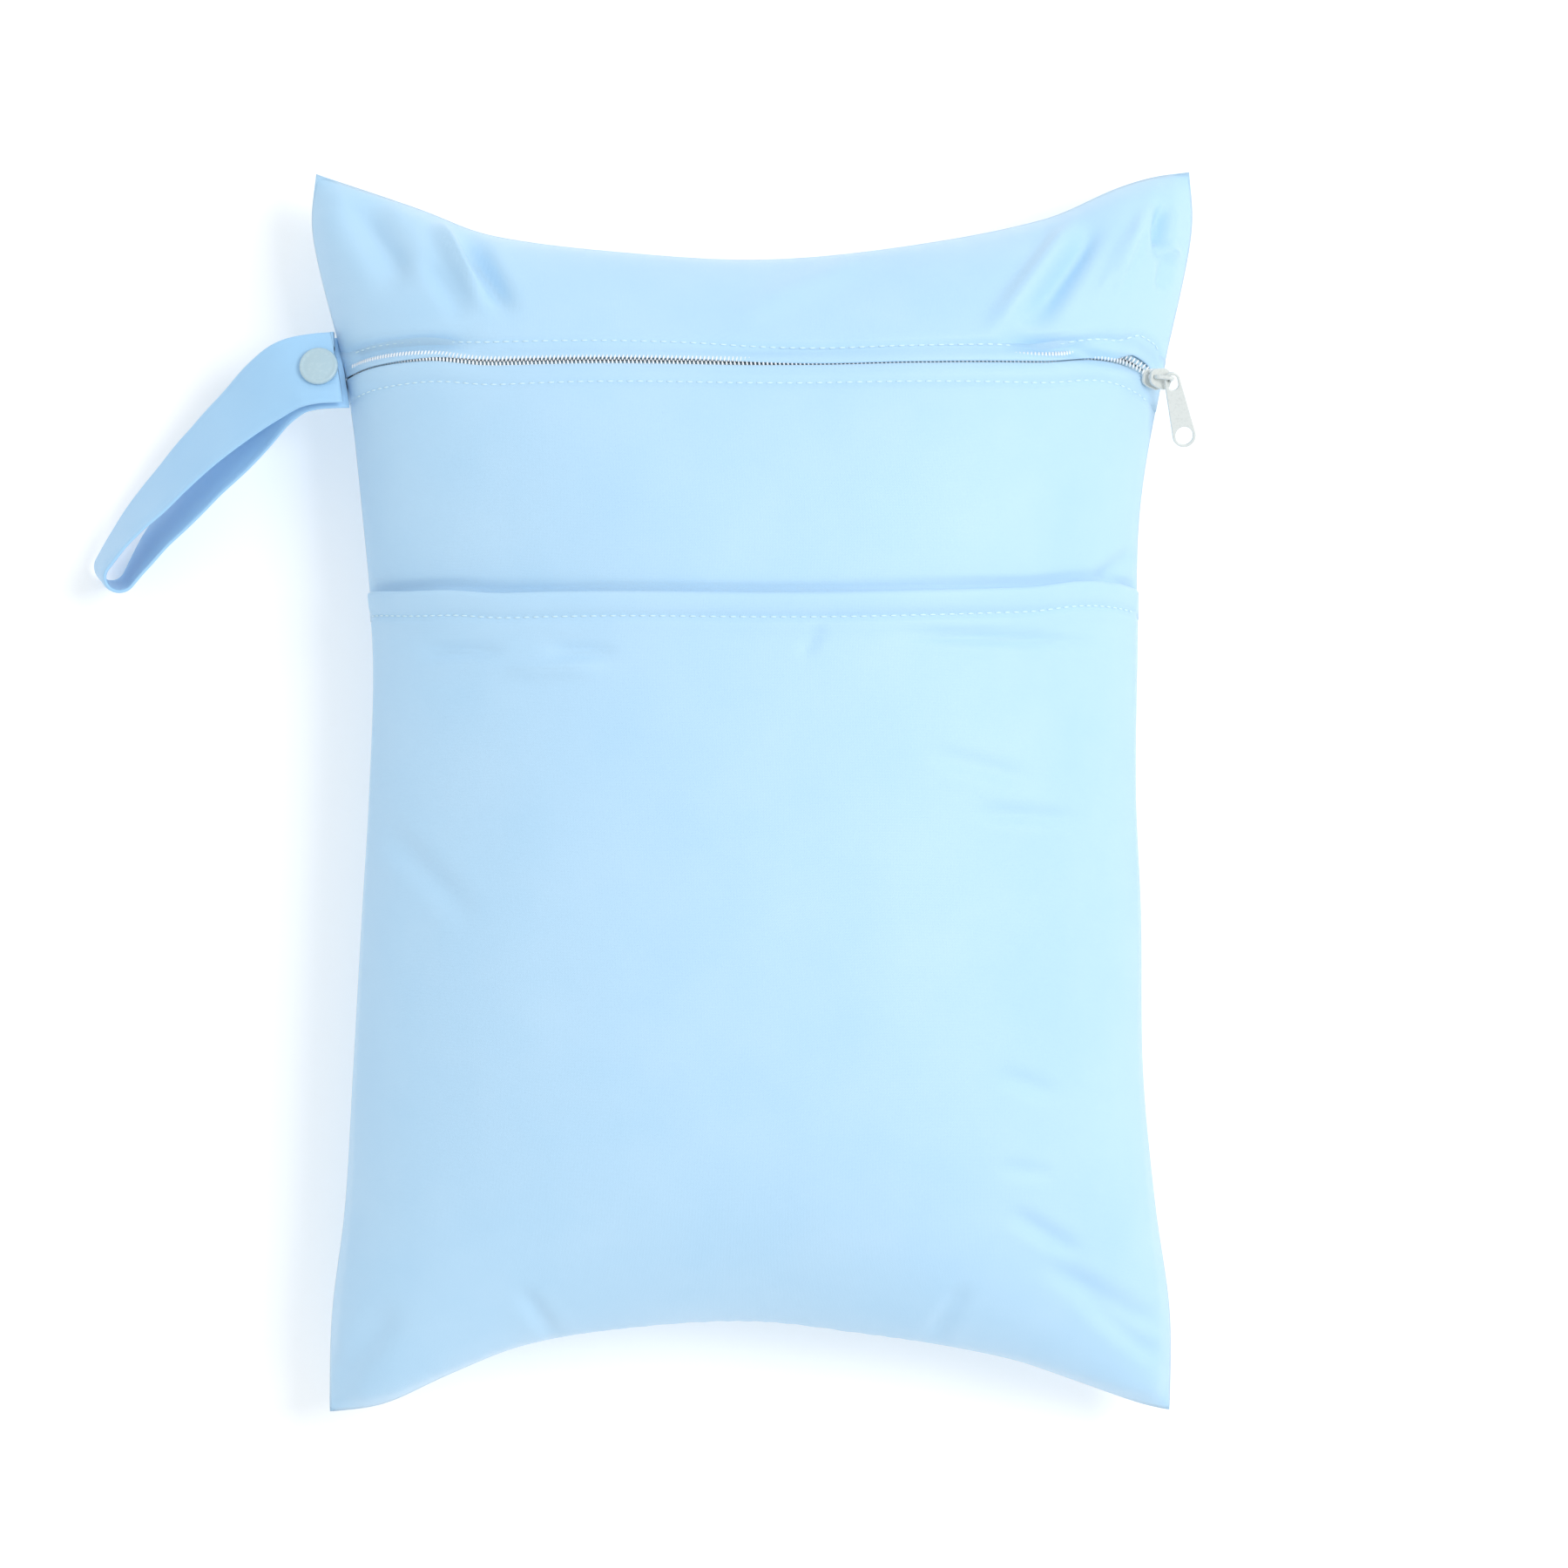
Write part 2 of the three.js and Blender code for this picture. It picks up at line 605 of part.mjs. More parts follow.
// Strap: one ribbon, from the side seam along the rear layer to the far end and back
const strapStart = skin(-1, strapSeat / halfRise, true);
const snapStack = strapThick + socketThick + studThick + seat * 3;
const strapRows = strapRoute.map((row, i) => ({ ...row, at: i / (strapRoute.length - 1) }));

function frontLayer(share) {
  const read = (column) => along(strapRows, 'at', column, share);
  const tilt = read('tilt') * degree;
  const open = lerp(snapStack, strapOpen, read('open'));
  const lying = (strapWidth / 2) * Math.sin(tilt) + open * Math.cos(tilt) + strapThick / 2;
  const sewn = strapStart.z + snapStack;
  const point = new THREE.Vector3(
    strapStart.x - frontEndGap - read('out') * strapReach,
    strapStart.y - read('fall') * strapFall,
    lerp(lying, sewn, read('height')),
  );
  return { point, tilt, open };
}

const routeStep = 0.02;

function strapFrame(share) {
  const here = frontLayer(share);
  const ahead = frontLayer(Math.min(1, share + routeStep)).point;
  const behind = frontLayer(Math.max(0, share - routeStep)).point;
  const way = ahead.sub(behind).setZ(0).normalize();
  const level = new THREE.Vector3(-way.y, way.x, 0);
  const width = level.clone().multiplyScalar(Math.cos(here.tilt)).setZ(Math.sin(here.tilt));
  const face = level.clone().multiplyScalar(-Math.sin(here.tilt)).setZ(Math.cos(here.tilt));
  return { ...here, way, width, face };
}

const layerSteps = 20;
const turnSteps = 6;
const strapSteps = layerSteps * 2 + turnSteps;

// One cross section of the ribbon: rear layer, turn at the far end, front layer
function strapSection(step) {
  const past = step - layerSteps;
  if (past <= 0) {
    const frame = strapFrame(step / layerSteps);
    const middle = frame.point.clone().addScaledVector(frame.face, -frame.open);
    return { middle, width: frame.width, out: frame.face.clone().negate() };
  }
  if (past >= turnSteps) {
    const frame = strapFrame(1 - (past - turnSteps) / layerSteps);
    return { middle: frame.point, width: frame.width, out: frame.face };
  }
  const frame = strapFrame(1);
  const angle = (past / turnSteps) * Math.PI;
  const out = frame.face.clone().multiplyScalar(-Math.cos(angle));
  out.addScaledVector(frame.way, Math.sin(angle));
  const middle = frame.point.clone().addScaledVector(frame.face, -frame.open / 2);
  return { middle: middle.addScaledVector(out, frame.open / 2), width: frame.width, out };
}

function strapRibbon() {
  return slab(strapSteps, 4, (a, b, through) => {
    const step = Math.round(a * strapSteps);
    const section = strapSection(step);
    const point = section.middle
      .clone()
      .addScaledVector(section.width, (0.5 - b) * strapWidth)
      .addScaledVector(section.out, (through - 0.5) * strapThick);
    const edge = skin(-1, clamp(point.y / halfRise, -1, 1), true).x;
    if (step === 0) point.x = edge - seat;
    if (step === strapSteps) point.x = edge - frontEndGap;
    return point;
  });
}

// Snap: its axis stands on the strap's face
function shareOut(distance) {
  let near = 0;
  let far = 1;
  for (let i = 0; i < 30; i += 1) {
    const middle = (near + far) / 2;
    if (strapStart.x - frontLayer(middle).point.x < distance) near = middle;
    else far = middle;
  }
  return near;
}

const snapSeat = strapFrame(shareOut(snapPlace));
const snapTurn = new THREE.Matrix4()
  .makeBasis(snapSeat.way, new THREE.Vector3().crossVectors(snapSeat.face, snapSeat.way), snapSeat.face)
  .setPosition(snapSeat.point);
const snapSides = 16;

// A turned piece from its profile of radius and height, on the snap's axis
function turned(profile, sides = snapSides) {
  const points = profile.map(([radius, height]) => new THREE.Vector2(radius, height));
  const geometry = new THREE.LatheGeometry(points, sides);
  return geometry.rotateX(Math.PI / 2).applyMatrix4(snapTurn);
}

const layerTop = strapThick / 2;
const rearMiddle = -snapSeat.open;

function snapCapProfile(face, way, prong) {
  const radius = capDiameter / 2;
  const under = face + way * capSeat;
  return [
    [0, face - way * prong],
    [prongDiameter / 2, face - way * prong],
    [prongDiameter / 2, under],
    [radius - snapEase, under],
    [radius, under + way * snapEase],
    [radius * domeOut, under + way * capThick * domeUp],
    [radius * domeFlat, under + way * capThick],
    [0, under + way * capThick],
  ];
}

const socketTop = -layerTop - seat;
const socketFoot = socketTop - socketThick;
const rearTop = rearMiddle + strapThick / 2;

function snapSocket() {
  const cup = nubDiameter / 2 + seat;
  const bore = prongDiameter / 2 + seat;
  const web = socketTop - prongPast - seat;
  return turned([
    [0, web - socketWeb],
    [cup, web - socketWeb],
    [cup, socketFoot],
    [socketDiameter / 2 - snapEase, socketFoot],
    [socketDiameter / 2, socketFoot + snapEase],
    [socketDiameter / 2, socketTop],
    [bore, socketTop],
    [bore, web],
    [0, web],
  ]);
}

function snapStud() {
  const foot = rearTop + seat;
  const top = foot + studThick;
  const nub = nubDiameter / 2;
  return turned([
    [0, foot],
    [studDiameter / 2, foot],
    [studDiameter / 2, top - snapEase / 2],
    [studDiameter / 2 - snapEase, top],
    [nub - snapEase, top],
    [nub - snapEase, top + nubHeight * (1 - nubFull)],
    [nub, top + nubHeight * nubFull],
    [nub - snapEase, top + nubHeight],
    [0, top + nubHeight],
  ]);
}

function punch(middle) {
  const cutter = new THREE.CylinderGeometry(prongHole / 2, prongHole / 2, strapThick * 2, 12);
  return solidOf(cutter.rotateX(Math.PI / 2).translate(0, 0, middle).applyMatrix4(snapTurn));
}

function hangingStrap() {
  const holes = punch(0).add(punch(rearMiddle));
  return geometryOf(solidOf(strapRibbon()).subtract(holes));
}

const bag = new THREE.Group();

function addPiece(name, geometry, material) {
  const mesh = new THREE.Mesh(geometry, material);
  mesh.name = name;
  bag.add(mesh);
  return mesh;
}

addPiece('back_panel', backPanel(), clothBlue);
addPiece('front_middle_panel', middlePanel(), clothBlue);
addPiece('front_top_panel', topPanel(), clothBlue);
addPiece('pocket_panel', pocketPanel(), clothBlue);
addPiece('zipper_tape_upper', tape(1, topRowAt), tapeBlue);
addPiece('zipper_tape_lower', tape(-1, (row, u) => middleRowAt(middleRows - row, u)), tapeBlue);
addPiece('zipper_coil', coil(), coilWhite);
addPiece('zipper_slider', sliderBody(), pullWhite);
addPiece('hanging_strap', hangingStrap(), strapBlue);

const pull = addPiece('zipper_pull', pullPlate(), pullWhite);
pull.rotation.set(pullDroop * degree, 0, (pullTurn + 90) * degree, 'ZYX');
pull.position.copy(legMiddle);

const prongReach = strapThick + seat + prongPast;
addPiece('snap_cap', turned(snapCapProfile(layerTop, 1, prongReach)), snapBlue);
addPiece('snap_socket', snapSocket(), snapBlue);
addPiece('snap_stud', snapStud(), snapBlue);
addPiece(
  'snap_cap_back',
  turned(snapCapProfile(rearMiddle - strapThick / 2, -1, strapThick).reverse()),
  snapBlue,
);

export default bag;
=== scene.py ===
"""Looks of a cloth wet bag: filled cloth body, top zipper, open front pocket, hanging strap.

Metres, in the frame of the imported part: the bag lies on its back, +Z is up, +Y points to the
end with the zipper and +X to the end where the zipper closes. Sizes in the tables and in the
fields that end in _mm are millimetres.
"""

import logging
import math
from dataclasses import dataclass, field
from enum import Enum
from typing import Callable, Sequence

import bmesh
import bpy
import numpy as np
from mathutils import Matrix, Vector, noise

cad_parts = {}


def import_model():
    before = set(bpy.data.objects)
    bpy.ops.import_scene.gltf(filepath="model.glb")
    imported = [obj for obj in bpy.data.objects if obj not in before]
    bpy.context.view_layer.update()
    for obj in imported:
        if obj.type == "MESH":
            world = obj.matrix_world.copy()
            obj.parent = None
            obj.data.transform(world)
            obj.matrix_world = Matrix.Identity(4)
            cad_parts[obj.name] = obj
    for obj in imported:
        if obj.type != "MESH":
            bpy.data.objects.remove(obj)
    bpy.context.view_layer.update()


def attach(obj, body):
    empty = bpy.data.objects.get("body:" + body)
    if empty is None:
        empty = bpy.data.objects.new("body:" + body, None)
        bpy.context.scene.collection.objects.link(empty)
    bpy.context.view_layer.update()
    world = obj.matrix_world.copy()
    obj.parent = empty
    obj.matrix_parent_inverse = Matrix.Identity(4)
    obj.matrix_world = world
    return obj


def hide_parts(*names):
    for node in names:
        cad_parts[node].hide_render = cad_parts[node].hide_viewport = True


MM = 0.001
BAG = "bag"
PULL = "pull_tab"
SLIDER_MIDDLE = (0.12921, 0.132129, 0.04735)

log = logging.getLogger("wet_bag")


class Side(Enum):
    """The two skins of the bag."""

    FRONT = 1
    BACK = -1


class Slot(Enum):
    """The record's material slots."""

    CLOTH = "cloth"
    STRAP = "strap_cloth"
    TAPE = "zipper_tape"
    COIL = "zipper_coil"
    METAL = "zipper_metal"
    SNAP = "snap_plastic"


@dataclass(frozen=True)
class Curve:
    """A smooth curve through points (at, value)."""

    points: tuple[tuple[float, float], ...]

    def read(self, at: np.ndarray) -> np.ndarray:
        """Reads the curve.

        Args:
            at: Places along the curve.

        Returns:
            The value at each place.
        """
        xs = np.array([p[0] for p in self.points])
        ys = np.array([p[1] for p in self.points])
        before = np.maximum(np.arange(len(xs)) - 1, 0)
        after = np.minimum(np.arange(len(xs)) + 1, len(xs) - 1)
        slope = (ys[after] - ys[before]) / (xs[after] - xs[before])
        i = np.clip(np.searchsorted(xs, at, side="left") - 1, 0, len(xs) - 2)
        step = xs[i + 1] - xs[i]
        t = np.clip((at - xs[i]) / step, 0, 1)
        rest = 1 - t
        bend = step * t * rest * (slope[i] * rest - slope[i + 1] * t)
        return ys[i] * (1 + 2 * t) * rest**2 + ys[i + 1] * t**2 * (3 - 2 * t) + bend


@dataclass(frozen=True)
class Crease:
    """One fold of the cloth: middle, turn in degrees, half length, half width and depth, in mm."""

    x: float
    y: float
    turn: float
    long: float
    wide: float
    deep: float

    def depth(self, x: np.ndarray, y: np.ndarray) -> np.ndarray:
        """Depth of the fold at places of the plan.

        Args:
            x: Places across the bag, in mm.
            y: Places up the bag, in mm.

        Returns:
            How far the cloth is pushed in, in mm; negative stands up.
        """
        turn = math.radians(self.turn)
        dx, dy = x - self.x, y - self.y
        run = (dx * math.cos(turn) + dy * math.sin(turn)) / self.long
        off = (dy * math.cos(turn) - dx * math.sin(turn)) / self.wide
        return self.deep * (1 - 0.8 * off**2) * np.exp(-(off**2) - run**4)


FRONT_CREASES = (
    Crease(-92, 167.5, -59, 14, 3.4, -2.8),
    Crease(-84, 165, -59, 14, 4.2, 2.6),
    Crease(-97, 160, -56, 11, 4.0, 1.2),
    Crease(-119, 177, -60, 16, 8.0, 3.2),
    Crease(17, 160, 26, 22, 6.0, -0.7),
    Crease(90, 163, 52, 20, 4.6, -2.3),
    Crease(99, 164, 58, 17, 5.2, 2.8),
    Crease(119.5, 171.5, 67, 13, 2.4, -1.8),
    Crease(114.5, 167, 65, 12, 2.2, -0.9),
    Crease(131, 180, 84, 8, 3.2, 3.2),
    Crease(133, 174, -20, 5, 2.2, -1.2),
    Crease(132, 166, 80, 5, 3.0, 1.4),
    Crease(103, 139, -9, 22, 3.4, 2.2),
    Crease(-110, 141, 6, 20, 3.4, 1.9),
    Crease(116, 72, 35, 7, 3.0, 1.1),
    Crease(-90, 44.5, 1, 12, 3.0, 1.1),
    Crease(-52, 44, -3, 10, 3.2, 0.9),
    Crease(-60, 38.5, 2, 13, 3.4, -0.9),
    Crease(78, 48, -2, 27, 2.4, 1.0),
    Crease(19, 47, 58, 5, 2.4, 0.7),
    Crease(72, 8, -15, 14, 4.2, 0.7),
    Crease(86, -7, -4, 14, 3.4, 0.9),
    Crease(-101, -25, -43, 18, 6.0, 0.9),
    Crease(86, -91, -22, 9, 4.0, 0.7),
    Crease(86, -118, -10, 8, 3.4, 0.5),
    Crease(92, -138, -34, 12, 4.0, 1.1),
    Crease(112, -160, -32, 20, 4.8, 1.5),
    Crease(118, -171, -40, 16, 4.0, 1.2),
    Crease(-124, -178, 52, 17, 6.5, 1.5),
    Crease(-67, -164, 118, 9, 4.0, 0.9),
    Crease(62, -163, 62, 9, 4.2, 0.9),
)

BACK_CREASES = (
    Crease(-119, 168, -42, 30, 9.0, 2.2),
    Crease(-104, 172, -55, 22, 5.0, 1.2),
    Crease(119, 168, 42, 30, 9.0, 2.2),
    Crease(103, 173, 57, 22, 5.0, 1.2),
    Crease(-119, -168, 42, 30, 9.0, 2.2),
    Crease(-102, -174, 56, 22, 5.0, 1.2),
    Crease(119, -168, -42, 30, 9.0, 2.2),
    Crease(105, -172, -54, 22, 5.0, 1.2),
)


@dataclass
class BagForm:
    """The filled bag's two skins over its outline, settled as cloth on a surface."""

    half_span_mm: float = 141.0
    half_rise_mm: float = 200.0
    seam_mm: float = 38.0
    droop_mm: float = 7.0
    crown_mm: float = 50.0
    crease_gain: float = 1.6
    seam_reach_mm: float = 7.0
    pucker_mm: float = 0.35
    pucker_fade_mm: float = 5.0
    pucker_rate: float = 0.83
    flat_width: float = 0.298
    flat_length: float = 0.404
    columns: int = 60
    rows: int = 80
    frames: int = 24
    pressure: float = 14.0
    left: Curve = Curve((
        (-1.0, -0.967), (-0.84, -0.959), (-0.67, -0.928), (-0.45, -0.908), (-0.2, -0.887),
        (0.0, -0.87), (0.22, -0.862), (0.45, -0.889), (0.67, -0.928), (0.84, -0.989),
        (0.92, -1.009), (1.0, -0.999),
    ))
    right: Curve = Curve((
        (-1.0, 0.957), (-0.84, 0.955), (-0.67, 0.921), (-0.45, 0.891), (-0.2, 0.886),
        (0.0, 0.874), (0.22, 0.878), (0.45, 0.886), (0.67, 0.939), (0.84, 0.993),
        (0.92, 1.01), (1.0, 1.003),
    ))
    top: Curve = Curve((
        (-1.0, 1.0), (-0.76, 0.941), (-0.6, 0.898), (-0.28, 0.868), (0.03, 0.857),
        (0.35, 0.879), (0.67, 0.925), (0.83, 0.975), (0.92, 0.995), (1.0, 1.003),
    ))
    bottom: Curve = Curve((
        (-1.0, -1.0), (-0.87, -0.985), (-0.72, -0.938), (-0.54, -0.889), (-0.3, -0.86),
        (0.0, -0.847), (0.28, -0.868), (0.61, -0.909), (0.78, -0.948), (0.93, -0.985),
        (1.0, -0.997),
    ))
    skins: dict[Side, np.ndarray] = field(default_factory=dict)

    def plan(self, u: np.ndarray, v: np.ndarray) -> tuple[np.ndarray, np.ndarray]:
        """Plan of the bag: its four edges joined across.

        Args:
            u: Places across, from -1 to 1.
            v: Places up, from -1 to 1.

        Returns:
            x and y of each place, in mm.
        """
        a, b = (u + 1) / 2, (v + 1) / 2
        left, right = self.left.read(v), self.right.read(v)
        bottom, top = self.bottom.read(u), self.top.read(u)
        corner = [c.points[i][1] for i in (0, -1) for c in (self.left, self.right)]
        low = corner[0] + (corner[1] - corner[0]) * a
        high = corner[2] + (corner[3] - corner[2]) * a
        x = left + (right - left) * a + low + (high - low) * b
        straight_left = corner[0] + (corner[2] - corner[0]) * b
        straight_right = corner[1] + (corner[3] - corner[1]) * b
        x -= straight_left + (straight_right - straight_left) * a
        y = bottom + (top - bottom) * b
        return x * self.half_span_mm, y * self.half_rise_mm

    def seam(self, u: np.ndarray, v: np.ndarray) -> np.ndarray:
        """Height of the side seam over the surface, in mm, carried across the bag."""
        return self.seam_mm - self.droop_mm * (u * v) ** 2

    def start(self, u: np.ndarray, v: np.ndarray, side: Side) -> np.ndarray:
        """The bag's rough shape, from which the cloth settles.

        Args:
            u: Places across, from -1 to 1.
            v: Places up, from -1 to 1.
            side: Which skin.

        Returns:
            Points in metres, one row each.
        """
        su = u + 0.2 * (1 - v**2) * (u - u**5)
        sv = v + 0.17 * (1 - u**2) * (v - v**5)
        x, y = self.plan(su, sv)
        seam = self.seam(su, sv)
        side_power, end_power = (2.4, 4.0) if side is Side.FRONT else (2.6, 4.0)
        a = np.maximum(0, 1 - np.abs(su) ** side_power) ** 0.7
        b = np.maximum(0, 1 - np.abs(sv) ** end_power) ** 0.56
        swell = a * b * (1 + 1.8 * (1 - a) * (1 - b))
        if side is Side.FRONT:
            z = seam + self.crown_mm * swell
        else:
            z = seam * np.maximum(0, 1 - 1.07 * swell) ** 1.25
        return np.stack([x, y, z], axis=-1) * MM

    def settle(self) -> None:
        skins = self.simulate()
        for side, skin in skins.items():
            rim = ((1, 1), (1, 1), (0, 0))
            self.skins[side] = np.pad(skin, rim, mode="reflect", reflect_type="odd")

    def simulate(self) -> dict[Side, np.ndarray]:
        """Blows the flat-cut cloth up over its outline, above the surface that it lies on.

        Returns:
            The points of each skin, by row and column.
        """
        flat_gap = 2 * MM
        bm = bmesh.new()
        for side in Side:
            made = bmesh.ops.create_grid(
                bm, x_segments=self.columns, y_segments=self.rows, size=0.5
            )
            for vert in made["verts"]:
                rim = max(abs(vert.co.x), abs(vert.co.y)) > 0.5 - 1e-6
                vert.co.z = 0.0 if rim else side.value * flat_gap
                vert.co.x *= self.flat_width
                vert.co.y *= self.flat_length
            if side is Side.BACK:
                faces = list({face for vert in made["verts"] for face in vert.link_faces})
                bmesh.ops.reverse_faces(bm, faces=faces)
        bmesh.ops.remove_doubles(bm, verts=bm.verts, dist=1e-6)
        mesh = bpy.data.meshes.new("settling_cloth")
        bm.to_mesh(mesh)
        bm.free()
        cloth = bpy.data.objects.new("settling_cloth", mesh)
        bpy.context.scene.collection.objects.link(cloth)
        flat = np.array([v.co for v in mesh.vertices])
        u = flat[:, 0] / self.flat_width * 2
        v = flat[:, 1] / self.flat_length * 2
        rim = np.abs(flat[:, 2]) < flat_gap / 2
        shaped = np.where(
            (flat[:, 2] > 0)[:, None], self.start(u, v, Side.FRONT), self.start(u, v, Side.BACK)
        )
        edge = self.plan(u, v)
        on_rim = np.stack([edge[0], edge[1], self.seam(u, v)], axis=-1) * MM
        shaped[rim] = on_rim[rim]
        for vert in mesh.vertices:
            vert.co.z += self.seam_mm * MM
        cloth.shape_key_add(name="Basis")
        start = cloth.shape_key_add(name="start")
        start.value = 1.0
        start.data.foreach_set("co", shaped.astype(np.float32).ravel())
        pinned = cloth.vertex_groups.new(name="seam")
        pinned.add([int(i) for i in np.flatnonzero(rim)], 1.0, "ADD")
        ground_mesh = bpy.data.meshes.new("settling_ground")
        bm = bmesh.new()
        bmesh.ops.create_grid(bm, x_segments=1, y_segments=1, size=1.0)
        bmesh.ops.translate(bm, verts=bm.verts, vec=(0, 0, -1.8 * MM))
        bm.to_mesh(ground_mesh)
        bm.free()
        ground = bpy.data.objects.new("settling_ground", ground_mesh)
        bpy.context.scene.collection.objects.link(ground)
        ground.modifiers.new("ground", "COLLISION")
        ground.collision.thickness_outer = 0.001
        settle = cloth.modifiers.new("settle", "CLOTH")
        stuff = settle.settings
        stuff.quality = 8
        stuff.mass = 0.2
        stuff.tension_stiffness = 30
        stuff.compression_stiffness = 30
        stuff.shear_stiffness = 15
        stuff.bending_stiffness = 0.5
        stuff.tension_damping = 10
        stuff.compression_damping = 10
        stuff.shear_damping = 10
        stuff.use_pressure = True
        stuff.uniform_pressure_force = self.pressure
        stuff.vertex_group_mass = "seam"
        stuff.pin_stiffness = 1
        stuff.rest_shape_key = mesh.shape_keys.key_blocks["Basis"]
        stuff.effector_weights.gravity = 0
        stuff.air_damping = 2
        settle.collision_settings.use_collision = True
        settle.collision_settings.distance_min = 0.001
        settle.collision_settings.use_self_collision = False
        for frame in range(1, self.frames + 1):
            bpy.context.scene.frame_set(frame)
        graph = bpy.context.evaluated_depsgraph_get()
        settled = np.array([v.co for v in cloth.evaluated_get(graph).data.vertices])
        column = np.rint((u + 1) / 2 * self.columns).astype(int)
        row = np.rint((v + 1) / 2 * self.rows).astype(int)
        skins = {}
        for side in Side:
            skin = np.zeros((self.rows + 1, self.columns + 1, 3))
            mine = rim | (flat[:, 2] * side.value > 0)
            skin[row[mine], column[mine]] = settled[mine]
            skins[side] = skin
        bpy.data.objects.remove(cloth)
        bpy.data.objects.remove(ground)
        bpy.context.scene.frame_set(1)
        log.info("cloth settled: lowest %.2f mm, highest %.2f mm", *(settled[:, 2][[
            settled[:, 2].argmin(), settled[:, 2].argmax()]] / MM))
        return skins

    def skin(self, u: np.ndarray, v: np.ndarray, side: Side) -> np.ndarray:
        """Points of the settled skin, smooth between its cells.

        Args:
            u: Places across, from -1 to 1.
            v: Places up, from -1 to 1.
            side: Which skin.

        Returns:
            Points in metres.
        """
        cells = self.skins[side]
        fx = (np.clip(u, -1, 1) + 1) / 2 * self.columns
        fy = (np.clip(v, -1, 1) + 1) / 2 * self.rows
        ix = np.clip(fx.astype(int), 0, self.columns - 1)
        iy = np.clip(fy.astype(int), 0, self.rows - 1)
        wx, wy = self.shares(fx - ix), self.shares(fy - iy)
        total = np.zeros(u.shape + (3,))
        for j in range(4):
            for i in range(4):
                total += (wx[i] * wy[j])[..., None] * cells[iy + j, ix + i]
        return total

    @staticmethod
    def shares(t: np.ndarray) -> list[np.ndarray]:
        """Weights of the four cells round a place, for a curve with no kinks."""
        return [
            (1 - t) ** 3 / 6,
            (3 * t**3 - 6 * t**2 + 4) / 6,
            (-3 * t**3 + 3 * t**2 + 3 * t + 1) / 6,
            t**3 / 6,
        ]

    def normal(self, u: np.ndarray, v: np.ndarray, side: Side) -> np.ndarray:
        """Outward directions of the settled skin."""
        step = 0.01
        across = self.skin(u + step, v, side) - self.skin(u - step, v, side)
        upward = self.skin(u, v + step, side) - self.skin(u, v - step, side)
        out = np.cross(across, upward) * side.value
        return out / np.maximum(np.linalg.norm(out, axis=-1, keepdims=True), 1e-12)

    def push(self, u: np.ndarray, v: np.ndarray, place: np.ndarray, side: Side) -> np.ndarray:
        """How far creases and slack move the skin inwards.

        Args:
            u: Places across, from -1 to 1.
            v: Places up, from -1 to 1.
            place: Points of the skin there, in metres.
            side: Which skin.

        Returns:
            Depths in mm.
        """
        x, y = place[..., 0] / MM, place[..., 1] / MM
        deep = np.zeros(u.shape)
        for crease in FRONT_CREASES if side is Side.FRONT else BACK_CREASES:
            deep += self.crease_gain * crease.depth(x, y)
        slack = np.array([
            0.55 * noise.noise(Vector((px / 46, py / 62, 3.1 * side.value)))
            + 0.16 * noise.noise(Vector((px / 15, py / 21, 7.7)))
            for px, py in zip(x.ravel(), y.ravel())
        ])
        deep += slack.reshape(u.shape)
        if side is Side.FRONT:
            deep += Zipper.valley(u, v)
        side_gap = (1 - np.abs(u)) * self.flat_width / 2 / MM
        end_gap = (1 - np.abs(v)) * self.flat_length / 2 / MM
        pucker = np.zeros(u.shape)
        for gap, along, drift in ((side_gap, y, 0.11), (end_gap, x, 0.13)):
            wave = np.sin(along * self.pucker_rate + 2 * np.sin(along * drift))
            pucker += self.pucker_mm * np.exp(-gap / self.pucker_fade_mm) * wave
        edge = np.clip(np.minimum(side_gap, end_gap) / self.seam_reach_mm, 0, 1)
        return (deep + pucker) * edge * edge * (3 - 2 * edge)

    def place(self, u: np.ndarray, v: np.ndarray, height_mm: np.ndarray, side: Side) -> np.ndarray:
        """Points at a height over the creased skin, which draw together at the side seam.

        Args:
            u: Places across, from -1 to 1.
            v: Places up, from -1 to 1.
            height_mm: Heights over the skin.
            side: Which skin.

        Returns:
            Points in metres.
        """
        base = self.skin(u, v, side)
        gap = np.minimum(
            (1 - np.abs(u)) * self.flat_width / 2, (1 - np.abs(v)) * self.flat_length / 2
        ) / MM
        tuck = 0.2 + 0.8 * np.clip(gap / self.seam_reach_mm, 0, 1)
        lift = height_mm * tuck - self.push(u, v, base, side)
        points = base + self.normal(u, v, side) * (lift * MM)[..., None]
        points[..., 2] = np.maximum(points[..., 2], 0)
        return points


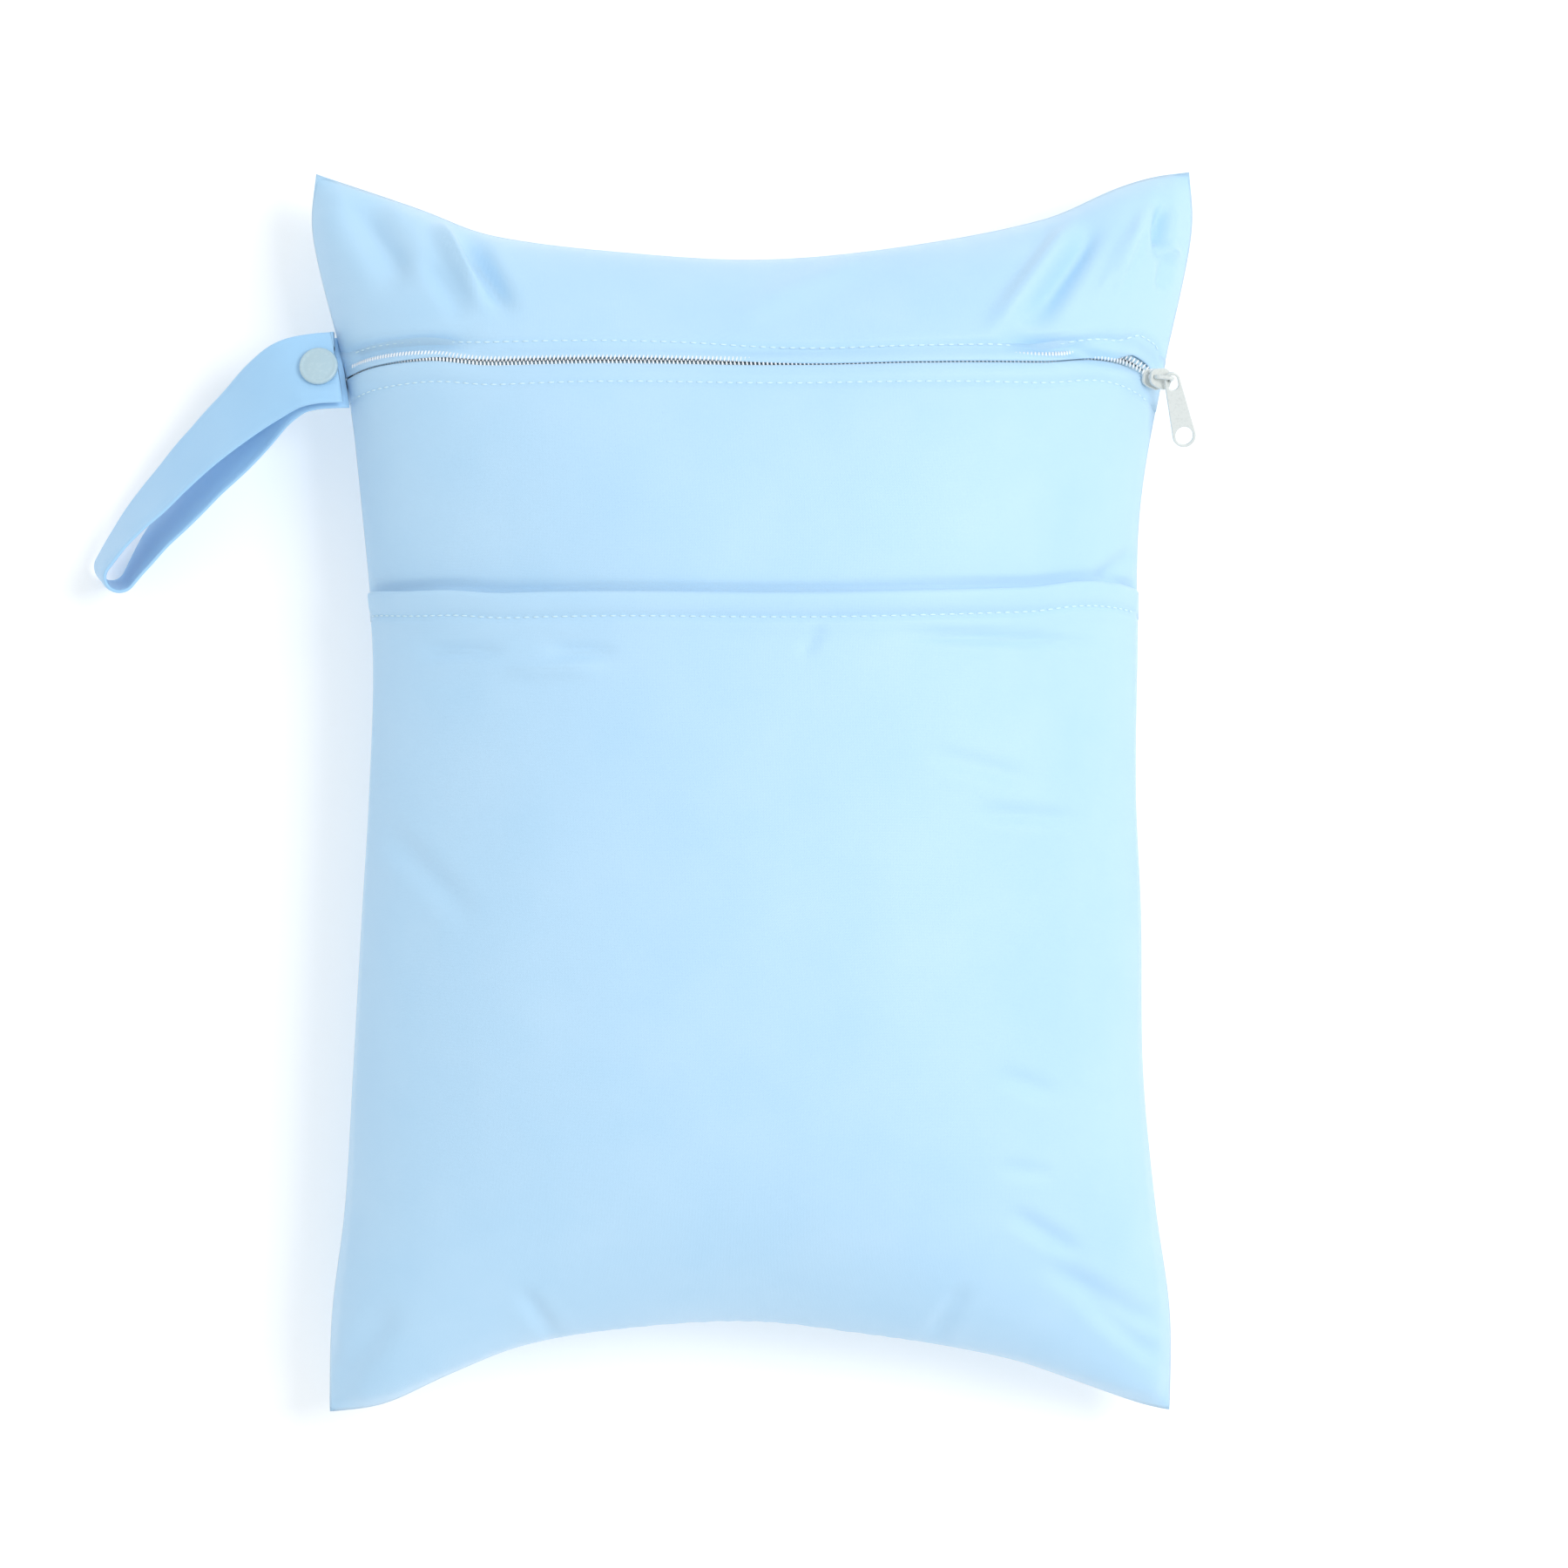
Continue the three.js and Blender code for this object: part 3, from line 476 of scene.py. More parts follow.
class Zipper:
    """Where the zipper and the pocket's hem cross the front, in shares of half the bag's length."""

    half_rise_mm = 200.0
    hem_mm = 64.0
    hem_sag_mm = 3.0
    line_mm = 135.0
    line_fall_mm = 1.5
    line_arch_mm = 6.0
    coil_leaves = 0.879
    bare_middle = -0.34
    bare_half = 0.36
    flap_over_mm = 1.5
    flap_draws_mm = 1.9
    lip_drop_mm = 2.0
    mouth_open_mm = 2.1
    gape_reach_mm = 14.0

    @classmethod
    def hem(cls, u: np.ndarray) -> np.ndarray:
        """Row of the pocket's hem."""
        return (cls.hem_mm - cls.hem_sag_mm * (1 - u**2)) / cls.half_rise_mm

    @classmethod
    def line(cls, u: np.ndarray) -> np.ndarray:
        """Row of the zipper's middle."""
        rise = cls.line_arch_mm * (1 - u**2) - cls.line_fall_mm * (u + 1)
        return (cls.line_mm + rise) / cls.half_rise_mm

    @classmethod
    def mouth(cls, u: np.ndarray) -> np.ndarray:
        """Share by which the cloth opens round the slider."""
        rise = np.clip((u - cls.coil_leaves + 0.06) / 0.07, 0, 1)
        fall = np.clip((u - 0.95) / 0.05, 0, 1)
        return rise**2 * (3 - 2 * rise) * (1 - fall**2 * (3 - 2 * fall))

    @classmethod
    def bare(cls, u: np.ndarray) -> np.ndarray:
        """Share by which the coil shows between the folded edges."""
        return np.exp(-(((u - cls.bare_middle) / cls.bare_half) ** 4))

    @classmethod
    def flap(cls, u: np.ndarray) -> np.ndarray:
        """Row of the upper cloth's folded edge, which draws back where the coil shows."""
        closed = cls.flap_draws_mm * cls.bare(u) - cls.flap_over_mm
        edge = closed + (cls.mouth_open_mm - closed) * cls.mouth(u)
        return cls.line(u) + edge / cls.half_rise_mm

    @classmethod
    def lip(cls, u: np.ndarray) -> np.ndarray:
        """Row of the lower cloth's folded edge."""
        edge = cls.lip_drop_mm + (cls.mouth_open_mm - cls.lip_drop_mm) * cls.mouth(u)
        return cls.line(u) - edge / cls.half_rise_mm

    @classmethod
    def valley(cls, u: np.ndarray, v: np.ndarray) -> np.ndarray:
        """Depth of the hollows along the zipper and over the pocket's hem, in mm."""
        off = (v - cls.line(u)) * cls.half_rise_mm
        upper = (1.3 + 1.1 * u**2) * (0.8 + 0.2 * np.cos(9 * u))
        upper = upper * np.exp(-(((off - 4.2) / 2.5) ** 2))
        coil = 0.5 * np.exp(-((off / 4.5) ** 2))
        lower = -0.35 * np.exp(-(((off + 5.2) / 2.4) ** 2))
        over_hem = (v - cls.hem(u)) * cls.half_rise_mm
        trough = 1.1 * np.exp(-(((over_hem - 1.2) / 1.1) ** 2))
        return upper + coil + lower + trough

    @staticmethod
    def gape(u: np.ndarray) -> np.ndarray:
        """How far the pocket's hem stands off the cloth behind it, in mm."""
        wave = 1.5 + 2.2 * np.exp(-(((u + 0.62) / 0.3) ** 2)) + 0.4 * np.sin(5 * u)
        return wave * (1 - u**8)

    @classmethod
    def stand(cls, u: np.ndarray, back_mm: float) -> np.ndarray:
        """What is left of that at a place back from the hem."""
        return cls.gape(u) * max(0.0, 1 - back_mm / cls.gape_reach_mm) ** 1.5


def grid_piece(name: str, points: np.ndarray, cloth_uv: np.ndarray | None = None,
               ring: bool = False, flip: bool = False) -> bpy.types.Object:
    """Makes a mesh from a grid moved to points.

    Args:
        name: Name of the piece.
        points: Points in metres, by row and column.
        cloth_uv: Place of each point on the flat cloth, in metres.
        ring: Whether the first and last columns meet, and the ends are closed.
        flip: Whether the faces turn over.

    Returns:
        The object, at the origin.
    """
    rows, columns = points.shape[0] - 1, points.shape[1] - 1
    bm = bmesh.new()
    uv_layer = bm.loops.layers.uv.new("cloth")
    bmesh.ops.create_grid(bm, x_segments=columns, y_segments=rows, size=0.5)
    bm.verts.index_update()
    spots = [
        (round((v.co.y + 0.5) * rows), round((v.co.x + 0.5) * columns)) for v in bm.verts
    ]
    if cloth_uv is not None:
        for face in bm.faces:
            for loop in face.loops:
                loop[uv_layer].uv = cloth_uv[spots[loop.vert.index]]
    for vert, spot in zip(bm.verts, spots):
        vert.co = points[spot]
    if ring:
        bmesh.ops.remove_doubles(bm, verts=bm.verts, dist=1e-7)
        open_edges = [e for e in bm.edges if e.is_boundary]
        bmesh.ops.holes_fill(bm, edges=open_edges, sides=0)
        bmesh.ops.recalc_face_normals(bm, faces=bm.faces)
    if flip:
        bmesh.ops.reverse_faces(bm, faces=bm.faces)
    return finish_piece(name, bm)


def finish_piece(name: str, bm: bmesh.types.BMesh, smooth: bool = True) -> bpy.types.Object:
    """Turns a bmesh into an object of the scene.

    Args:
        name: Name of the piece.
        bm: The mesh, which is freed.
        smooth: Whether its faces shade smoothly.

    Returns:
        The object, at the origin.
    """
    mesh = bpy.data.meshes.new(name)
    bm.to_mesh(mesh)
    bm.free()
    mesh.polygons.foreach_set("use_smooth", [smooth] * len(mesh.polygons))
    piece = bpy.data.objects.new(name, mesh)
    bpy.context.scene.collection.objects.link(piece)
    return piece


def dress(piece: bpy.types.Object, finish: bpy.types.Material, body: str,
          stands_for: Sequence[str] = ()) -> bpy.types.Object:
    """Gives a piece its material, its body and the nodes that it stands for.

    Args:
        piece: The piece.
        finish: Its material.
        body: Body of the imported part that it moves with.
        stands_for: Nodes that it replaces.

    Returns:
        The same piece.
    """
    piece.data.materials.clear()
    piece.data.materials.append(finish)
    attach(piece, body)
    if stands_for:
        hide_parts(*stands_for)
    log.info("%s: %d faces", piece.name, len(piece.data.polygons))
    return piece


class Wiring:
    """Short calls for adding and joining the nodes of one tree."""

    def __init__(self, tree: bpy.types.NodeTree) -> None:
        """Takes the tree that the nodes go into."""
        self.tree = tree

    def add(self, kind: str, **inputs: object) -> bpy.types.Node:
        """Adds a node.

        Args:
            kind: Type of the node, without the word ShaderNode.
            inputs: Values or output sockets by input name, with _ for a space.

        Returns:
            The node.
        """
        node = self.tree.nodes.new("ShaderNode" + kind)
        for name, value in inputs.items():
            self.feed(node.inputs[name.replace("_", " ")], value)
        return node

    def math(self, operation: str, *values: object) -> bpy.types.NodeSocket:
        """Adds a Math node.

        Args:
            operation: Its operation.
            values: Numbers or output sockets, in order.

        Returns:
            Its output.
        """
        node = self.tree.nodes.new("ShaderNodeMath")
        node.operation = operation
        for socket, value in zip(node.inputs, values):
            self.feed(socket, value)
        return node.outputs[0]

    def group(self, tree: bpy.types.NodeTree, **inputs: object) -> bpy.types.Node:
        """Adds a shared group.

        Args:
            tree: The group.
            inputs: Values or output sockets by input name.

        Returns:
            The node.
        """
        node = self.tree.nodes.new("ShaderNodeGroup")
        node.node_tree = tree
        for name, value in inputs.items():
            self.feed(node.inputs[name], value)
        return node

    def feed(self, socket: bpy.types.NodeSocket, value: object) -> None:
        """Joins an output to a socket, or sets the socket's own value."""
        if isinstance(value, bpy.types.NodeSocket):
            self.tree.links.new(value, socket)
        else:
            socket.default_value = value


@dataclass
class Patterns:
    """Shader groups that several finishes use."""

    weave: bpy.types.NodeTree | None = None
    mottle: bpy.types.NodeTree | None = None
    grain: bpy.types.NodeTree | None = None

    def build(self) -> None:
        """Builds every group."""
        self.weave = self.build_weave()
        self.mottle = self.build_mottle()
        self.grain = self.build_grain()

    @staticmethod
    def group(
        name: str, inputs: Sequence[tuple[str, str]], outputs: Sequence[str]
    ) -> tuple[bpy.types.NodeTree, Wiring, bpy.types.Node, bpy.types.Node]:
        """Makes an empty group.

        Args:
            name: Name of the group.
            inputs: Name and socket type of each input.
            outputs: Names of its outputs, which are numbers.

        Returns:
            The tree, its wiring and its input and output nodes.
        """
        tree = bpy.data.node_groups.new(name, "ShaderNodeTree")
        for label, kind in inputs:
            tree.interface.new_socket(label, in_out="INPUT", socket_type=kind)
        for label in outputs:
            tree.interface.new_socket(label, in_out="OUTPUT", socket_type="NodeSocketFloat")
        given = tree.nodes.new("NodeGroupInput")
        made = tree.nodes.new("NodeGroupOutput")
        return tree, Wiring(tree), given, made

    def build_weave(self) -> bpy.types.NodeTree:
        """Threads that pass over and under each other."""
        tree, w, given, made = self.group(
            "cloth_weave",
            [("Vector", "NodeSocketVector"), ("Threads", "NodeSocketFloat")],
            ["Height"],
        )
        axes = w.add("SeparateXYZ", Vector=given.outputs["Vector"])
        waves = []
        for axis in ("X", "Y"):
            phase = w.math("MULTIPLY", axes.outputs[axis], given.outputs["Threads"])
            waves.append(w.math("SINE", w.math("MULTIPLY", phase, math.pi)))
        over = w.math("GREATER_THAN", w.math("MULTIPLY", waves[0], waves[1]), 0.0)
        warp = w.math("MULTIPLY", w.math("ABSOLUTE", waves[0]), over)
        weft = w.math("MULTIPLY", w.math("ABSOLUTE", waves[1]), w.math("SUBTRACT", 1.0, over))
        w.feed(made.inputs["Height"], w.math("ADD", warp, weft))
        return tree

    def build_mottle(self) -> bpy.types.NodeTree:
        """Soft uneven patches, with a finer nap over them."""
        tree, w, given, made = self.group(
            "cloth_mottle",
            [
                ("Vector", "NodeSocketVector"),
                ("Patch", "NodeSocketFloat"),
                ("Nap", "NodeSocketFloat"),
            ],
            ["Patches", "Fuzz"],
        )
        broad = w.add("TexNoise", Vector=given.outputs["Vector"], Scale=given.outputs["Patch"],
                      Detail=3.0, Roughness=0.55)
        fine = w.add("TexNoise", Vector=given.outputs["Vector"], Scale=given.outputs["Nap"],
                     Detail=2.0, Roughness=0.6)
        w.feed(made.inputs["Patches"], broad.outputs["Fac"])
        w.feed(made.inputs["Fuzz"], fine.outputs["Fac"])
        return tree

    def build_grain(self) -> bpy.types.NodeTree:
        """Fine unevenness of moulded and painted faces, with small worn spots."""
        tree, w, given, made = self.group(
            "moulded_grain",
            [("Vector", "NodeSocketVector"), ("Scale", "NodeSocketFloat")],
            ["Height", "Wear"],
        )
        fine = w.add("TexNoise", Vector=given.outputs["Vector"], Scale=given.outputs["Scale"],
                     Detail=4.0, Roughness=0.6)
        spots = w.add("TexVoronoi", Vector=given.outputs["Vector"], Scale=given.outputs["Scale"])
        worn = w.math("SUBTRACT", fine.outputs["Fac"], spots.outputs["Distance"])
        w.feed(made.inputs["Height"], fine.outputs["Fac"])
        w.feed(made.inputs["Wear"], w.math("SMOOTH_MIN", w.math("MAXIMUM", worn, 0.0), 1.0, 0.1))
        return tree


@dataclass(frozen=True)
class ClothFinish:
    """A satin-faced cloth with a fine weave."""

    name: str
    light: tuple[float, float, float]
    deep: tuple[float, float, float]
    threads_per_metre: float = 2600.0
    weave_depth: float = 0.00005
    patch: float = 26.0
    nap: float = 900.0
    roughness: tuple[float, float] = (0.38, 0.52)
    sheen: float = 0.25

    def build(self, patterns: Patterns) -> bpy.types.Material:
        """Makes the material.

        Args:
            patterns: The shared shader groups.

        Returns:
            The material.
        """
        material = bpy.data.materials.new(self.name)
        material.use_nodes = True
        w = Wiring(material.node_tree)
        shader = material.node_tree.nodes["Principled BSDF"]
        flat = w.add("TexCoord").outputs["UV"]
        weave = w.group(patterns.weave, Vector=flat, Threads=self.threads_per_metre)
        mottle = w.group(patterns.mottle, Vector=flat, Patch=self.patch, Nap=self.nap)
        shade = w.add("ValToRGB", Fac=mottle.outputs["Patches"])
        shade.color_ramp.elements[0].position = 0.3
        shade.color_ramp.elements[0].color = (*self.deep, 1)
        shade.color_ramp.elements[1].position = 0.7
        shade.color_ramp.elements[1].color = (*self.light, 1)
        gloss = w.add("MapRange", Value=mottle.outputs["Fuzz"])
        gloss.inputs["To Min"].default_value, gloss.inputs["To Max"].default_value = self.roughness
        threads = w.add("Bump", Height=weave.outputs["Height"], Distance=self.weave_depth,
                        Strength=0.6)
        uneven = w.add("Bump", Height=mottle.outputs["Fuzz"], Distance=0.00006, Strength=0.5,
                       Normal=threads.outputs["Normal"])
        w.feed(shader.inputs["Base Color"], shade.outputs["Color"])
        w.feed(shader.inputs["Roughness"], gloss.outputs["Result"])
        w.feed(shader.inputs["Normal"], uneven.outputs["Normal"])
        shader.inputs["Sheen Weight"].default_value = self.sheen
        shader.inputs["Sheen Roughness"].default_value = 0.4
        shader.inputs["Specular IOR Level"].default_value = 0.45
        return material


@dataclass(frozen=True)
class HardFinish:
    """A moulded plastic or an enamelled metal."""

    name: str
    colour: tuple[float, float, float]
    worn: tuple[float, float, float]
    roughness: tuple[float, float] = (0.25, 0.4)
    metal: float = 0.0
    coat: float = 0.0
    scale: float = 900.0
    grain_depth: float = 0.00002

    def build(self, patterns: Patterns) -> bpy.types.Material:
        """Makes the material.

        Args:
            patterns: The shared shader groups.

        Returns:
            The material.
        """
        material = bpy.data.materials.new(self.name)
        material.use_nodes = True
        w = Wiring(material.node_tree)
        shader = material.node_tree.nodes["Principled BSDF"]
        place = w.add("TexCoord").outputs["Object"]
        grain = w.group(patterns.grain, Vector=place, Scale=self.scale)
        colour = w.add("ValToRGB", Fac=grain.outputs["Wear"])
        colour.color_ramp.elements[0].color = (*self.colour, 1)
        colour.color_ramp.elements[1].color = (*self.worn, 1)
        gloss = w.add("MapRange", Value=grain.outputs["Height"])
        gloss.inputs["To Min"].default_value, gloss.inputs["To Max"].default_value = self.roughness
        bump = w.add("Bump", Height=grain.outputs["Height"], Distance=self.grain_depth, Strength=0.4)
        w.feed(shader.inputs["Base Color"], colour.outputs["Color"])
        w.feed(shader.inputs["Roughness"], gloss.outputs["Result"])
        w.feed(shader.inputs["Normal"], bump.outputs["Normal"])
        shader.inputs["Metallic"].default_value = self.metal
        shader.inputs["Coat Weight"].default_value = self.coat
        shader.inputs["Coat Roughness"].default_value = 0.15
        return material


@dataclass
class Finishes:
    """Every finish of the bag."""

    patterns: Patterns
    cloth: bpy.types.Material | None = None
    strap: bpy.types.Material | None = None
    tape: bpy.types.Material | None = None
    thread: bpy.types.Material | None = None
    coil: bpy.types.Material | None = None
    metal: bpy.types.Material | None = None
    snap: bpy.types.Material | None = None

    def build(self) -> None:
        """Builds the materials."""
        self.patterns.build()
        self.cloth = ClothFinish("satin_cloth", (0.515, 0.755, 0.965), (0.48, 0.73, 0.95)).build(
            self.patterns)
        self.strap = ClothFinish("strap_cloth", (0.43, 0.705, 0.965), (0.39, 0.67, 0.95)).build(
            self.patterns)
        self.tape = ClothFinish(
            "tape_weave", (0.55, 0.77, 0.9), (0.5, 0.73, 0.87), threads_per_metre=1700.0,
            weave_depth=0.00012, sheen=0.1, roughness=(0.7, 0.85),
        ).build(self.patterns)
        self.thread = ClothFinish(
            "sewing_thread", (0.72, 0.9, 0.97), (0.62, 0.84, 0.95), threads_per_metre=5200.0,
            weave_depth=0.00005, roughness=(0.45, 0.6), sheen=0.3,
        ).build(self.patterns)
        self.coil = HardFinish("coil_nylon", (0.93, 0.95, 0.97), (0.86, 0.9, 0.94),
                               (0.3, 0.45)).build(self.patterns)
        self.metal = HardFinish("white_enamel", (0.68, 0.71, 0.69), (0.56, 0.59, 0.58),
                                (0.22, 0.34), coat=0.4).build(self.patterns)
        self.snap = HardFinish("snap_plastic", (0.46, 0.62, 0.69), (0.55, 0.7, 0.76),
                               (0.28, 0.4), coat=0.2, scale=700.0).build(self.patterns)


@dataclass(frozen=True)
class Hemline:
    """A folded, topstitched edge: places (back from the edge, height over the skin), in mm."""

    under: tuple[tuple[float, float], ...]
    over: tuple[tuple[float, float], ...]

    def rows(self) -> list[tuple[float, float]]:
        """Rows from the raw end underneath, round the fold and over the outside."""
        return [*self.under, *self.over]


POCKET_HEM = Hemline(
    under=((9.0, 0.4), (6.0, 0.4), (3.0, 0.45), (1.4, 0.5), (0.5, 0.65), (0.1, 0.95)),
    over=((0.0, 1.3), (0.15, 1.65), (0.6, 2.0), (1.4, 2.2), (2.6, 2.3), (4.0, 2.3), (5.2, 2.15),
          (6.2, 1.85), (7.0, 1.35), (7.6, 1.0), (8.2, 1.2), (9.0, 1.65), (10.2, 1.85), (12.0, 1.75),
          (14.0, 1.6)),
)
FLAP_HEM = Hemline(
    under=((8.0, -1.1), (5.0, -1.1), (2.5, -1.1), (1.0, -1.08), (0.3, -0.98), (0.05, -0.8)),
    over=((0.0, -0.6), (0.1, -0.4), (0.45, -0.2), (1.0, -0.05), (1.9, 0.0), (3.0, -0.1),
          (4.2, -0.25), (5.2, -0.35), (6.0, -0.45), (6.5, -0.5), (7.1, -0.3), (8.0, 0.05),
          (9.4, 0.15), (11.5, 0.05), (14.0, 0.0)),
)
LIP_HEM = Hemline(
    under=((8.0, -1.1), (5.0, -1.1), (2.5, -1.1), (1.0, -1.08), (0.3, -0.98), (0.05, -0.8)),
    over=((0.0, -0.6), (0.1, -0.4), (0.45, -0.15), (1.0, 0.05), (2.0, 0.2), (3.4, 0.25),
          (4.8, 0.15), (6.0, -0.1), (6.6, -0.35), (7.1, -0.5), (7.7, -0.3), (8.6, 0.0),
          (10.0, 0.15), (12.0, 0.05), (14.0, 0.0)),
)


@dataclass
class BagCloth:
    """The sewn cloth of the bag: back, upper front, middle front and pocket."""

    form: BagForm
    finishes: Finishes
    columns: int = 184
    cloth_thick: float = 0.00045
    row_step_mm: float = 1.6
    pieces: dict[str, bpy.types.Object] = field(default_factory=dict)

    def across(self) -> np.ndarray:
        """Columns from side seam to side seam, a little closer at the seams."""
        t = np.linspace(-1, 1, self.columns + 1)
        return t * (1.18 - 0.18 * t**2)

    def panel(self, name: str, rows: Sequence[tuple[np.ndarray, np.ndarray, float]],
              side: Side) -> bpy.types.Object:
        """Makes one panel from its rows.

        Args:
            name: Name of the piece.
            rows: For each row its places up the bag, its heights in mm, and how far it is
                along the cloth, in metres.
            side: Which skin it follows.

        Returns:
            The piece.
        """
        u = np.broadcast_to(self.across(), (len(rows), self.columns + 1))
        v = np.array([row[0] for row in rows])
        height = np.array([row[1] for row in rows])
        points = self.form.place(u, v, height, side)
        run = np.array([row[2] for row in rows])
        along = np.broadcast_to(run[:, None], u.shape)
        uv = np.stack([u * self.form.flat_width / 2, along], axis=-1)
        turned = (v[-1].mean() < v[0].mean()) != (side is Side.BACK)
        piece = grid_piece(name, points, uv, flip=turned)
        wall = piece.modifiers.new("cloth_thickness", "SOLIDIFY")
        wall.thickness = self.cloth_thick
        wall.offset = -1
        self.pieces[name] = piece
        return piece

    def hem_rows(self, hem: Hemline, edge: Callable[[np.ndarray], np.ndarray], way: int,
                 gapes: bool = False) -> list[tuple[np.ndarray, np.ndarray, float]]:
        """Rows of a folded edge.

        Args:
            hem: The fold's section.
            edge: Row of the edge at each place across.
            way: 1 where the cloth lies above its edge, and -1 where it lies below.
            gapes: Whether the edge stands off the cloth behind it.

        Returns:
            The rows, from the raw end to the outside.
        """
        u = self.across()
        rows, run, last = [], 0.0, hem.rows()[0]
        for back, height in hem.rows():
            run += math.hypot(back - last[0], height - last[1]) * MM
            last = (back, height)
            stand = Zipper.stand(u, back) if gapes else np.zeros_like(u)
            rows.append((edge(u) + way * back / Zipper.half_rise_mm, height + stand, run))
        return rows

    def field_rows(self, start: np.ndarray, end: np.ndarray, height: float, run: float,
                   step_mm: float) -> list[tuple[np.ndarray, np.ndarray, float]]:
        """Plain rows between two lines across the bag, without the first.

        Args:
            start: Row at each column where they start.
            end: Row at each column where they end.
            height: Height over the skin, in mm.
            run: Cloth used so far, in metres.
            step_mm: Spacing of the rows.

        Returns:
            The rows.
        """
        long = float(np.abs(end - start).mean()) * Zipper.half_rise_mm
        count = max(2, round(long / step_mm))
        level = np.full(self.columns + 1, height)
        return [
            (start + (end - start) * k / count, level, run + long * MM * k / count)
            for k in range(1, count + 1)
        ]

    def build_back(self) -> None:
        """The back panel."""
        u = self.across()
        first = (np.full_like(u, -1.0), np.zeros_like(u), 0.0)
        rows = [first, *self.field_rows(first[0], np.ones_like(u), 0.0, 0.0, 2.6)]
        piece = self.panel("back_cloth", rows, Side.BACK)
        dress(piece, self.finishes.cloth, BAG, ["back_panel"])

    def build_upper(self) -> None:
        """The front above the zipper."""
        u = self.across()
        rows = self.hem_rows(FLAP_HEM, Zipper.flap, 1)
        rows += self.field_rows(rows[-1][0], np.ones_like(u), 0.0, rows[-1][2], self.row_step_mm)
        piece = self.panel("upper_front_cloth", rows, Side.FRONT)
        dress(piece, self.finishes.cloth, BAG, ["front_top_panel"])

    def build_middle(self) -> None:
        """The front below the zipper, which goes down behind the pocket."""
        u = self.across()
        rows = self.hem_rows(LIP_HEM, Zipper.lip, -1)
        hidden = Zipper.hem(u) - 0.12
        rows += self.field_rows(rows[-1][0], hidden, 0.0, rows[-1][2], self.row_step_mm)
        rows += self.field_rows(hidden, np.full_like(u, -1.0), 0.0, rows[-1][2], 6.0)
        piece = self.panel("middle_front_cloth", rows, Side.FRONT)
        dress(piece, self.finishes.cloth, BAG, ["front_middle_panel"])

    def build_pocket(self) -> None:
        """The pocket, open along its hem."""
        u = self.across()
        rows = self.hem_rows(POCKET_HEM, Zipper.hem, -1, gapes=True)
        foot = np.full_like(u, -1.0)
        rows += self.field_rows(rows[-1][0], foot, 1.6, rows[-1][2], self.row_step_mm)
        piece = self.panel("pocket_cloth", rows, Side.FRONT)
        dress(piece, self.finishes.cloth, BAG, ["pocket_panel"])


@dataclass
class Stitching:
    """Rows of topstitches on the front."""

    form: BagForm
    finishes: Finishes
    pitch_mm: float = 3.1
    long_mm: float = 2.3
    wide_mm: float = 0.6
    high_mm: float = 0.5
    reach: float = 0.975
    flap_row_mm: float = 6.5
    lip_row_mm: float = 7.1
    hem_row_mm: float = 7.6
    zipper_height_mm: float = -0.35
    hem_height_mm: float = 1.2

    def row(self, name: str, line: Callable[[np.ndarray], np.ndarray],
            height: Callable[[np.ndarray], np.ndarray]) -> None:
        """Sews one row.

        Args:
            name: Name of the piece.
            line: Row of the stitches at each place across.
            height: Height of the stitches over the skin there, in mm.
        """
        u = np.linspace(-self.reach, self.reach, 1200)
        v = line(u)
        points = self.form.place(u, v, height(u), Side.FRONT)
        normals = self.form.normal(u, v, Side.FRONT)
        steps = np.linalg.norm(np.diff(points, axis=0), axis=1)
        run = np.concatenate([[0], np.cumsum(steps)])
        bm = bmesh.new()
        for at in np.arange(self.pitch_mm, run[-1] / MM - self.pitch_mm, self.pitch_mm):
            ends = [
                Vector([np.interp(at * MM + part * self.long_mm * MM / 2, run, points[:, k])
                        for k in range(3)])
                for part in (-1, 1)
            ]
            k = int(np.searchsorted(run, at * MM))
            way = (ends[1] - ends[0]).normalized()
            level = Vector(normals[k]).cross(way).normalized()
            turn = Matrix((way, level, way.cross(level))).transposed().to_4x4()
            size = Matrix.Diagonal((self.long_mm * MM / 2, self.wide_mm * MM / 2,
                                    self.high_mm * MM / 2, 1))
            spot = Matrix.Translation((ends[0] + ends[1]) / 2) @ turn @ size
            bmesh.ops.create_uvsphere(bm, u_segments=6, v_segments=5, radius=1, matrix=spot)
        dress(finish_piece(name, bm), self.finishes.thread, BAG)

    def build(self) -> None:
        """Sews the rows above and below the zipper and along the pocket's hem."""
        share = 1 / Zipper.half_rise_mm
        self.row(
            "upper_zipper_stitches",
            lambda u: Zipper.flap(u) + self.flap_row_mm * share,
            lambda u: np.full_like(u, self.zipper_height_mm),
        )
        self.row(
            "lower_zipper_stitches",
            lambda u: Zipper.lip(u) - self.lip_row_mm * share,
            lambda u: np.full_like(u, self.zipper_height_mm),
        )
        self.row(
            "pocket_hem_stitches",
            lambda u: Zipper.hem(u) - self.hem_row_mm * share,
            lambda u: self.hem_height_mm + Zipper.stand(u, self.hem_row_mm),
        )


